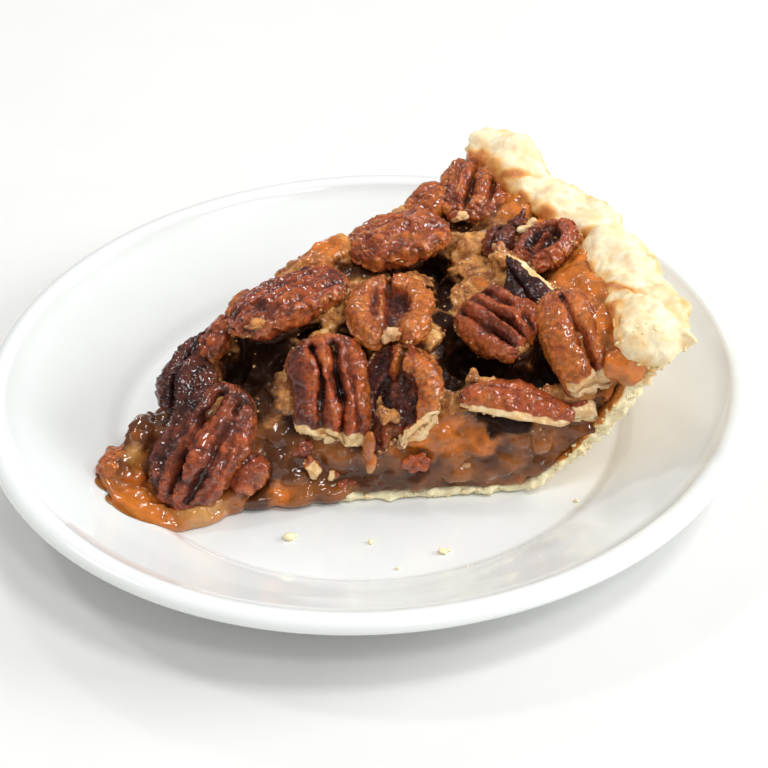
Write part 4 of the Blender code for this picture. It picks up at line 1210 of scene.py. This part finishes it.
# Nuts with golden froth baked on to their margins, and how much.
FROTHED = {
    "pecan_03": 0.5, "pecan_04": 0.35, "pecan_05": 0.8, "pecan_06": 0.7, "pecan_10": 0.9,
    "pecan_11": 0.8, "pecan_12": 0.7, "pecan_13": 0.6, "pecan_07": 0.4, "pecan_08": 0.5, "pecan_14": 0.3,
    "pecan_01": 0.15, "pecan_15": 0.1,
}


def pecan_turn(turns):
    heading, pitch, roll = (math.radians(turn) for turn in turns)
    return Euler((roll, -pitch, heading), "XYZ").to_matrix()


def furrows_at(aside, share, furrows, length, seed):
    """How deep a nut's long furrows are at each point: their floors, which are also painted dark as shade, and their
    sloping sides.
    """
    fade = 1 - ease(0.88, 1.0, np.abs(share))
    floors, sides = np.zeros(len(aside)), np.zeros(len(aside))
    for place, depth in furrows:
        along = np.column_stack((share * length / 2, np.full(len(share), place * 40), np.zeros(len(share))))
        wander = 0.13 * grain(along, 9.0, 2, seed)
        wide = np.clip(1 + 1.1 * grain(along, 6.0, 1, seed + 0.7), 0.45, 1.7)
        deep = np.clip(0.9 + 0.9 * grain(along, 5.0, 1, seed + 1.3), 0.4, 1.15) * min(1.2, depth)
        away = np.abs(aside - place * (1 - 0.12 * share**2) - wander) / wide
        floors = np.maximum(floors, deep * np.exp(-((away / 0.055) ** 2)))
        sides = np.maximum(sides, deep * np.exp(-((away / 0.17) ** 2)))
    return floors * fade, sides * fade


def flat_side(across, share, half, seed, thick, gape, worn):
    """Height of the nut's flat side: two thick scrolled rims round a ridge and a hollow."""
    aside = across * half
    edge = np.clip(1.0 - np.sqrt(aside**2 + share**2 * (1 - 0.1 * aside**2)), 0, 1)
    place = np.column_stack((aside * 9, share * 11, np.zeros(len(share))))
    inner = edge + 0.09 * grain(place, 4.0, 2, seed)
    round_it = np.column_stack((np.arctan2(aside, share) * 9, edge * 3, np.zeros(len(share))))
    cracks = creases(round_it, np.array([1.5, 4.0, 4.0]), 0.16, seed + 1)
    rim = np.sin(np.pi * np.minimum(1.0, inner.clip(0) / thick)) ** 0.42 * (1 - 0.12 * cracks)
    rim *= 1 - worn * ease(0.05, 0.4, -aside)
    ridge = np.exp(-(((aside + 0.2) / 0.12) ** 2)) * (1 - ease(0.3, 0.62, np.abs(share))) * (1 - worn)
    hollow = ease(thick - 0.2, thick - 0.06, inner) * (1 - ridge)
    slit = np.exp(-((aside / 0.055) ** 2)) * ease(-0.1, 0.3, share)
    mouth = np.exp(-((aside / (0.1 + 0.16 * gape)) ** 2)) * ease(0.5 - 0.35 * gape, 0.75 - 0.2 * gape, -share)
    height = 0.46 * rim + 0.3 * ridge - 0.16 * hollow - 0.4 * slit - 0.5 * mouth
    return height, hollow, np.maximum(slit, mouth)


def pecan_skin(size, seed, wrinkle, furrows, flat_up, blunt, scroll, taper):
    """Points in the nut's own frame, faces and masks of one half nut before it is broken or placed."""
    count, rings = (132, 96) if size[0] > WHOLE_NUT else (72, 48)
    turn = math.tau * np.arange(count) / count
    turn = turn + 0.2 * np.sin(2 * turn)
    share = -np.cos(np.pi * (np.arange(rings) + 0.6) / (rings + 0.2))
    share, turn = (grid.ravel() for grid in np.meshgrid(share, turn, indexing="ij"))
    half = (1 - np.abs(share) ** blunt) ** 0.45 * (1 - taper * ease(-0.3, 1, share))
    across, up = np.cos(turn), np.sin(turn)
    length, width, thickness = size
    wobble = np.column_stack((share * length / 2, np.sign(across) * 30, np.zeros(len(share))))
    floors, sides = furrows_at(across * half, share, furrows, length, seed)
    back = np.maximum(up, 0) ** 0.7 * half
    back *= 1 - np.minimum(1, half * 1.3) * (0.45 * floors + 0.34 * sides)
    below, hollow, slit = flat_side(across, share, half, seed, *scroll)
    front = np.maximum(below, -0.05) * ease(0, 0.2, -up)
    ragged = 1 + 0.05 * grain(wobble, 1.9, 2, seed + 0.3) * wrinkle**0.5 + 0.08 * grain(wobble, 7.0, 1, seed)
    z = np.where(up > 0, back * thickness * 0.62, -front * thickness)
    notch = 0.09 * sides * ease(0.6, 1, np.abs(share)) * (up > 0)
    gape = scroll[1]
    mouth = np.exp(-((across * half / (0.1 + 0.12 * gape)) ** 2)) * ease(0.6, 1, -share)
    mouth *= flat_up * (0.15 + 0.3 * gape)
    points = np.column_stack((share * length / 2 * (1 - notch - mouth), across * half * width / 2 * ragged, z))
    points = np.vstack((points, [(-length / 2 * (1 - 0.3 * flat_up), 0, 0), (length / 2, 0, 0)]))
    masks = (floors * (up > 0), hollow * (up < 0), slit * (up < 0), up)
    floors, hollow, slit, up = (np.append(mask, (0, 0)) for mask in masks)
    mesh = closed_mesh(points * MM, poled_faces(rings, count))
    normals = normals_of(mesh)
    side = np.where(up > 0, 1.0, 0.5 + 0.5 * hollow)
    warped = points + 0.8 * grain(points, 3.0, 1, seed + 2)[:, None]
    patch = 0.75 + 0.5 * grain(points, 5.0, 1, seed + 9)
    knobs = pebbles(warped, np.array([3.3, 2.2, 2.6]), seed + 1)
    ribs = creases(warped, np.array([1.6, 4.0, 4.0]), 0.14, seed + 3)
    push = 0.55 * (knobs - 0.55) + 0.3 * grain(points, 2.6, 2, seed + 4) - 0.3 * ribs
    push += 0.5 * grain(warped, np.array([7.0, 1.5, 2.0]), 2, seed + 10)
    push = push * wrinkle * side * patch * (1 - 0.5 * floors) + 0.5 * grain(points, 7.0, 1, seed + 5)
    push += 0.22 * grain(points, 1.1, 2, seed + 6) - 0.22 * ribs * (1 - floors)
    points = points + normals * push[:, None]
    seams = 1 - ease(0.1, 0.45, knobs)
    # Painted shade: the furrow floors, the seams between knobs, the ribs, the slit and the flat side's hollow are
    # darkened as shade.
    dark = np.maximum(floors * 1.1 - 0.1, (0.45 * seams + 0.4 * ribs) * side * np.minimum(1, wrinkle) * patch)
    dark = np.maximum(dark, np.maximum(0.85 * slit, 0.45 * hollow * flat_up))
    margin = ease(0.55, 0.95, 1 - np.abs(up)) * (0.45 + 0.55 * flat_up)
    # Painted shade and light: the skin is toned darker on the furrows' sides and in the flat side's hollow, and lighter
    # on the tops of the knobs.
    low = 0.3 * np.append(sides, (0, 0)) * (up > 0) + 0.6 * hollow * flat_up - 0.4 * (knobs - 0.4) * wrinkle
    return mesh, points, dark, margin, low


def build_pecan(name, middle, size, turns, skin, wrinkle, furrows, breaks, finish):
    seed = float(name[-2:]) * 3.7
    flat_up = float(abs(turns[2]) > 90)
    blunt = BLUNT.get(name, 2.8)
    scroll = SCROLLS.get(name, (0.56, 0.4, 0.0))
    taper = TAPER.get(name, 0.0)
    mesh, points, dark, margin, low = pecan_skin(size, seed, wrinkle, furrows, flat_up, blunt, scroll, taper)
    bend = 1.4 * (points[:, 0] / size[0]) ** 2 + 0.8 * (points[:, 1] / size[1]) ** 2
    points[:, 2] -= bend
    flesh = np.zeros(len(points))
    for way, out, kernel in breaks:
        way = np.array(way, float)
        way /= np.linalg.norm(way)
        reach = out * np.linalg.norm(way * np.array(size) / 2)
        ragged = 0.06 * size[0] * CLEAN.get(name, 1.0)
        beyond = points @ way - reach - ragged * grain(points, 3.6, 2, seed + 6)
        flesh = np.maximum(flesh, kernel * ease(-1.4, -0.8, beyond + 0.5 * grain(points, 1.6, 1, seed + 3)))
        points -= np.maximum(beyond, 0)[:, None] * way * 0.94
        points[:, 2] -= 0.4 * np.sign(points[:, 2]) * np.clip(beyond + 1.6, 0, 1.6)
    # The tone carries the painted shade and light from low as well as the skin's own colour.
    tone = skin + low + 0.16 * grain(points, 5.0, 2, seed + 7)
    side, start = SIDE_TONE.get(name, (0.0, 0.0))
    tone += abs(side) * ease(start, start + 0.25, points[:, 1] / size[1] * 2 * np.sign(side))
    placed = points @ np.array(pecan_turn(turns)).T + np.array(middle)
    move_points(mesh, on_plate(placed))
    patches = ease(-0.05, 0.3, grain(points, 4.5, 2, seed + 8))
    froth = FROTHED.get(name, 0.0) * patches * ease(0.72, 0.9, 1 - np.abs(points[:, 2]) / size[2] * 1.6) * margin
    # The recess mask carries painted shade to the material.
    mask_points(mesh, furrow=dark * (1 - flesh), margin=margin, flesh=flesh, tone=tone, crumbs=froth)
    return new_piece(name.replace("pecan", "pecan_half"), mesh, finish, "pecan_skin", name)


def build_pecans(settings):
    finish = pecan_finish(settings)
    for name, middle, size, turns, skin, wrinkle, furrows, breaks in PECANS:
        build_pecan(name, middle, size, turns, skin, wrinkle, furrows, breaks, finish)
    build_bits(finish)


def build_bits(finish):
    """Small bits of nut set in the cut and between the halves."""
    points, faces, tones, kernels = [], [], [], []
    for number, (middle, radii, heading, tone, kernel) in enumerate(BITS):
        faces += poled_faces(24, 32, sum(len(part) for part in points))
        shape = ball((0, 0, 0), radii, heading, 20.0, 0.0, 24, 32)
        rough = grain(shape, 1.4, 3, number * 3.1) * 0.5 + (pebbles(shape, 1.5, number) - 0.5) * 0.5
        points.append(shape * (1 + rough)[:, None] + middle)
        tones.append(np.full(len(shape), tone))
        kernels.append(kernel * ease(-0.5, 0.1, grain(shape, 1.8, 1, number + 9)))
    mesh = closed_mesh(on_plate(np.vstack(points)), faces)
    none = np.zeros(len(mesh.vertices))
    mask_points(mesh, tone=np.concatenate(tones), flesh=np.concatenate(kernels), furrow=none, margin=none)
    return new_piece("nut_bits", mesh, finish, "pecan_skin")


# ------------------------------------------------------------------ crumbs
def copied(piece_name):
    return bpy.data.objects[piece_name].data.copy()


def build_froth(settings):
    """Golden crumbs of baked froth, thickest where the custard meets the nuts."""
    light, dark = tuple(settings.froth_light), tuple(settings.froth_dark)
    material = crumb_finish("froth crumbs", light, dark, 0.4, 0.4)
    values = {
        "Density": settings.froth_density, "Smallest": 0.00025, "Largest": 0.0009, "Flatness": 0.7,
        "Seed": 11, "Material": material,
    }
    mesh = grown(copied("custard_filling"), crumbs_tree(), values)
    return new_piece("froth_crumbs", mesh, material, "caramel_filling")


def build_nut_froth(settings):
    """Golden crumbs of froth along the margins of the nuts."""
    joined = bmesh.new()
    for name in FROTHED:
        joined.from_mesh(bpy.data.objects[name.replace("pecan", "pecan_half")].data)
    nuts = bpy.data.meshes.new("nuts")
    joined.to_mesh(nuts)
    joined.free()
    light, dark = tuple(settings.froth_light), tuple(settings.froth_dark)
    material = crumb_finish("nut crumbs", light, dark, 0.35, 0.5)
    values = {
        "Density": settings.froth_density * 10, "Smallest": 0.0003, "Largest": 0.0010, "Flatness": 0.8,
        "Seed": 23, "Material": material,
    }
    return new_piece("nut_crumbs", grown(nuts, crumbs_tree(), values), material, "caramel_filling")


def build_flakes(settings):
    """Ragged flakes along the crust's cut edges."""
    light, dark = tuple(settings.flake_light), tuple(settings.flake_dark)
    material = crumb_finish("pastry flakes", light, dark, 0.8)
    values = {
        "Density": settings.flake_density, "Smallest": 0.0005, "Largest": 0.0016, "Flatness": 0.3,
        "Seed": 5, "Material": material,
    }
    mesh = grown(copied("pie_crust"), crumbs_tree(), values)
    return new_piece("pastry_flakes", mesh, material, "baked_crust")


def build_plate_crumbs(settings):
    """The few crumbs that fell in front of the slice."""
    fallen = [
        (37.2, -12.7, 1.5), (38.4, -12.2, 0.8), (53.3, -15.3, 0.8), (67.2, -19.5, 1.1), (68.4, -19.0, 0.6),
        (58.2, -23.5, 0.6), (71.7, -24.3, 0.6), (95.0, -6.0, 0.7), (60.0, 68.0, 0.9), (41.0, 50.0, 0.7),
    ]
    points, faces = [], []
    for number, (x, y, size) in enumerate(fallen):
        shape = ball((0, 0, 0), (size * 0.8, size * 0.62, size * 0.5), number * 47.0, 10.0, 0.0, 8, 12)
        lumpy = shape * (1 + 0.35 * grain(shape, size * 0.8, 2, number))[:, None]
        faces += poled_faces(8, 12, sum(len(part) for part in points))
        points.append(lumpy + (x, y, size * 0.4 - 0.3))
    mesh = closed_mesh(on_plate(np.vstack(points)), faces)
    light, dark = tuple(settings.flake_light), tuple(settings.flake_dark)
    material = crumb_finish("fallen crumbs", light, dark, 0.8)
    mask_points(mesh, tint=np.full(len(mesh.vertices), 0.2))
    return new_piece("plate_crumbs", mesh, material, "baked_crust")


# ------------------------------------------------------------------ stage
def build_stage(settings):
    mesh = bpy.data.meshes.new("floor")
    side = 4.0
    corners = [(-side, -side, 0), (side, -side, 0), (side, side, 0), (-side, side, 0)]
    mesh.from_pydata(corners, [], [(0, 1, 2, 3)])
    mesh.materials.append(floor_finish(settings))
    floor = bpy.data.objects.new("floor", mesh)
    bpy.context.scene.collection.objects.link(floor)
    add_light("low window", (0.9, 0.0, 0.45), (0.5, 0.42), settings.low, (0.985, 0.995, 1.0))
    add_light("window", (0.36, -0.2, 0.85), (0.2, 0.16), settings.window, (0.985, 0.995, 1.0))
    add_light("glint behind", (-0.2, 0.8, 0.75), (0.12, 0.12), settings.glint, (1.0, 1.0, 1.0))
    add_light("glint in front", (0.25, -0.6, 0.8), (0.12, 0.12), settings.glint, (1.0, 1.0, 1.0))
    add_light("side window", (-0.5, 0.2, 0.75), (0.1, 0.1), settings.side, (1.0, 1.0, 1.0))
    world = bpy.data.worlds.new("room")
    world.use_nodes = True
    background = world.node_tree.nodes["Background"]
    background.inputs["Color"].default_value = (*settings.room, 1.0)
    sky = Tree(world.node_tree)
    glossy = sky.out("ShaderNodeLightPath", take="Is Glossy Ray")
    shine = settings.room_strength * settings.room_shine
    sky.put(background, "Strength", sky.spread(glossy, 0.0, 1.0, settings.room_strength, shine))
    bpy.context.scene.world = world
    bpy.context.scene.view_settings.view_transform = "Standard"
    add_camera()


def add_light(name, place, sides, power, colour):
    light = bpy.data.lights.new(name, "AREA")
    light.shape = "RECTANGLE"
    light.size, light.size_y = sides
    light.energy = power
    light.color = colour
    lamp = bpy.data.objects.new(name, light)
    bpy.context.scene.collection.objects.link(lamp)
    lamp.location = place
    lamp.rotation_euler = (-Vector(place)).to_track_quat("-Z", "Y").to_euler()


def add_camera():
    """The camera looks down 36 degrees across the plate, a little rolled."""
    camera = bpy.data.cameras.new("camera")
    camera.sensor_width = 36.0
    camera.lens = 98.4
    camera.clip_start = 0.01
    eye = bpy.data.objects.new("camera", camera)
    bpy.context.scene.collection.objects.link(eye)
    down, roll = math.radians(36.0), math.radians(2.22)
    back = Vector((0, -math.cos(down), math.sin(down)))
    right = Vector((1, 0, 0))
    up = back.cross(right)
    across = math.cos(roll) * right - math.sin(roll) * up
    upward = math.sin(roll) * right + math.cos(roll) * up
    aim = Vector((3.48, 16.41, 1.0)) * MM
    eye.matrix_world = Matrix.Translation(aim + back * 0.4616) @ Matrix((across, upward, back)).transposed().to_4x4()
    bpy.context.scene.camera = eye


# ------------------------------------------------------------------ settings
def colour_of(name, what, value):
    return FloatVectorProperty(name=name, description=what, default=value, size=3, min=0.0, max=1.0, subtype="COLOR")


class PiePlateSettings(bpy.types.PropertyGroup):
    steps: IntProperty(name="Steps", description="Facets once round the plate", default=256, min=32, max=512)
    glaze: colour_of("Glaze", "Colour of the plate's white glaze", (0.835, 0.86, 0.86))


class PieCrustSettings(bpy.types.PropertyGroup):
    fineness: FloatProperty(name="Fineness", description="Width of the crust's faces, in millimetres", default=0.55, min=0.3)
    pale: colour_of("Pale", "Pastry where the oven hardly touched it", (0.94, 0.845, 0.62))
    baked: colour_of("Baked", "Pastry that is baked through", (0.91, 0.72, 0.41))
    toasted: colour_of("Toasted", "Pastry at the toasted edges", (0.74, 0.44, 0.14))
    golden: colour_of("Golden", "Pastry that caramel has just reached", (0.80, 0.42, 0.11))
    stain: colour_of("Stain", "Pastry soaked with caramel", (0.56, 0.18, 0.035))
    flake_light: colour_of("Light flakes", "Lightest pastry flakes", (0.98, 0.86, 0.55))
    flake_dark: colour_of("Dark flakes", "Darkest pastry flakes", (0.92, 0.70, 0.36))
    flake_density: FloatProperty(name="Flakes", description="Flakes on a square metre of cut pastry", default=3.2e5, min=0.0)


class PieFillingSettings(bpy.types.PropertyGroup):
    fineness: FloatProperty(name="Fineness", description="Width of the filling's faces, in millimetres", default=0.49, min=0.3)
    gel: colour_of("Gel", "Smooth set custard", (0.125, 0.037, 0.010))
    deep: colour_of("Deep gel", "Custard where it is thickest", (0.07, 0.020, 0.006))
    froth: colour_of("Froth", "Golden baked froth", (0.80, 0.37, 0.105))
    rust: colour_of("Rust", "Darker baked froth", (0.26, 0.07, 0.018))
    bright: colour_of("Bright caramel", "Caramel that the light shines through", (0.69, 0.195, 0.026))
    amber: colour_of("Amber", "Thicker clear caramel", (0.31, 0.10, 0.020))
    milky: colour_of("Milky", "Caramel with flour in it", (0.55, 0.26, 0.072))
    # Painted shade: the near-black colour of the gaps between the nuts.
    hollow: colour_of("Hollow", "The deepest gaps between the nuts", (0.014, 0.006, 0.004))
    froth_light: colour_of("Light crumbs", "Lightest froth crumbs", (0.80, 0.47, 0.18))
    froth_dark: colour_of("Dark crumbs", "Darkest froth crumbs", (0.36, 0.12, 0.03))
    froth_density: FloatProperty(name="Crumbs", description="Froth crumbs on a square metre", default=4.0e5, min=0.0)


class PieNutSettings(bpy.types.PropertyGroup):
    orange: colour_of("Orange", "Thin skin at the rims", (0.61, 0.173, 0.030))
    red: colour_of("Red", "Red-brown skin", (0.42, 0.078, 0.021))
    purple: colour_of("Purple", "Purple-brown skin", (0.155, 0.032, 0.018))
    plum: colour_of("Plum", "Darkest skin", (0.034, 0.008, 0.008))
    flesh: colour_of("Flesh", "Kernel where a nut is broken", (0.98, 0.76, 0.46))
    tan: colour_of("Tan", "Darker kernel", (0.84, 0.50, 0.20))


class PieStageSettings(bpy.types.PropertyGroup):
    floor: colour_of("Floor", "Colour of the floor", (0.80, 0.80, 0.79))
    room: colour_of("Room", "Colour of the light from all round", (1.0, 0.985, 0.95))
    room_strength: FloatProperty(name="Room", description="Strength of the light from all round", default=0.575, min=0.0)
    room_shine: FloatProperty(name="Room shine", description="Share of that light that shows in gloss", default=0.35, min=0.0)
    low: FloatProperty(name="Low window", description="Power of the soft light low at the right, in watts", default=5.8, min=0.0)
    window: FloatProperty(name="Window", description="Power of the small window above the right, in watts", default=2.3, min=0.0)
    glint: FloatProperty(name="Glints", description="Power of each of two tiny lights, in watts", default=1.5, min=0.0)
    side: FloatProperty(name="Side window", description="Power of the small light at the left, in watts", default=1.1, min=0.0)


# ------------------------------------------------------------------ operators
class PIE_OT_plate(bpy.types.Operator):
    """Turns the white plate and glazes it"""

    bl_idname = "pie.plate"
    bl_label = "Plate"

    def execute(self, context):
        build_plate(context.scene.pie_plate)
        return {"FINISHED"}


class PIE_OT_crust(bpy.types.Operator):
    """Bakes the crust with its puffed rim"""

    bl_idname = "pie.crust"
    bl_label = "Crust"

    def execute(self, context):
        build_crust(context.scene.pie_crust)
        return {"FINISHED"}


class PIE_OT_filling(bpy.types.Operator):
    """Sets the caramel custard and bakes its top"""

    bl_idname = "pie.filling"
    bl_label = "Filling"

    def execute(self, context):
        build_filling(context.scene.pie_filling)
        return {"FINISHED"}


class PIE_OT_caramel(bpy.types.Operator):
    """Runs caramel out round the point and hangs its drips"""

    bl_idname = "pie.caramel"
    bl_label = "Caramel"

    def execute(self, context):
        build_pool(context.scene.pie_filling)
        build_drips(context.scene.pie_filling)
        return {"FINISHED"}


class PIE_OT_pecans(bpy.types.Operator):
    """Lays every pecan half and broken piece"""

    bl_idname = "pie.pecans"
    bl_label = "Pecans"

    def execute(self, context):
        build_pecans(context.scene.pie_nuts)
        return {"FINISHED"}


class PIE_OT_crumbs(bpy.types.Operator):
    """Scatters froth crumbs, pastry flakes and the crumbs on the plate"""

    bl_idname = "pie.crumbs"
    bl_label = "Crumbs"

    def execute(self, context):
        build_froth(context.scene.pie_filling)
        build_nut_froth(context.scene.pie_filling)
        build_flakes(context.scene.pie_crust)
        build_plate_crumbs(context.scene.pie_crust)
        return {"FINISHED"}


class PIE_OT_stage(bpy.types.Operator):
    """Lays the floor and sets the lights and the camera"""

    bl_idname = "pie.stage"
    bl_label = "Stage"

    def execute(self, context):
        build_stage(context.scene.pie_stage)
        return {"FINISHED"}


OPERATORS = (PIE_OT_plate, PIE_OT_crust, PIE_OT_filling, PIE_OT_caramel, PIE_OT_pecans, PIE_OT_crumbs, PIE_OT_stage)
SETTINGS = {
    "pie_plate": PiePlateSettings,
    "pie_crust": PieCrustSettings,
    "pie_filling": PieFillingSettings,
    "pie_nuts": PieNutSettings,
    "pie_stage": PieStageSettings,
}


class PIE_PT_panel(bpy.types.Panel):
    """Lists the pieces of the pie in the order in which they are made"""

    bl_idname = "PIE_PT_panel"
    bl_label = "Pecan pie slice"
    bl_space_type = "VIEW_3D"
    bl_region_type = "UI"
    bl_category = "Pie"

    def draw(self, context):
        for operator in OPERATORS:
            self.layout.operator(operator.bl_idname)
        for name, group in SETTINGS.items():
            box = self.layout.box()
            for key in group.__annotations__:
                box.prop(getattr(context.scene, name), key)


def register():
    for group in SETTINGS.values():
        bpy.utils.register_class(group)
    for name, group in SETTINGS.items():
        setattr(bpy.types.Scene, name, PointerProperty(type=group))
    for operator in OPERATORS:
        bpy.utils.register_class(operator)
    bpy.utils.register_class(PIE_PT_panel)


def unregister():
    bpy.utils.unregister_class(PIE_PT_panel)
    for operator in reversed(OPERATORS):
        bpy.utils.unregister_class(operator)
    for name, group in SETTINGS.items():
        delattr(bpy.types.Scene, name)
        bpy.utils.unregister_class(group)


def main():
    register()
    bpy.ops.pie.plate()
    bpy.ops.pie.crust()
    bpy.ops.pie.filling()
    bpy.ops.pie.caramel()
    bpy.ops.pie.pecans()
    bpy.ops.pie.crumbs()
    bpy.ops.pie.stage()


if __name__ == "__main__":
    main()
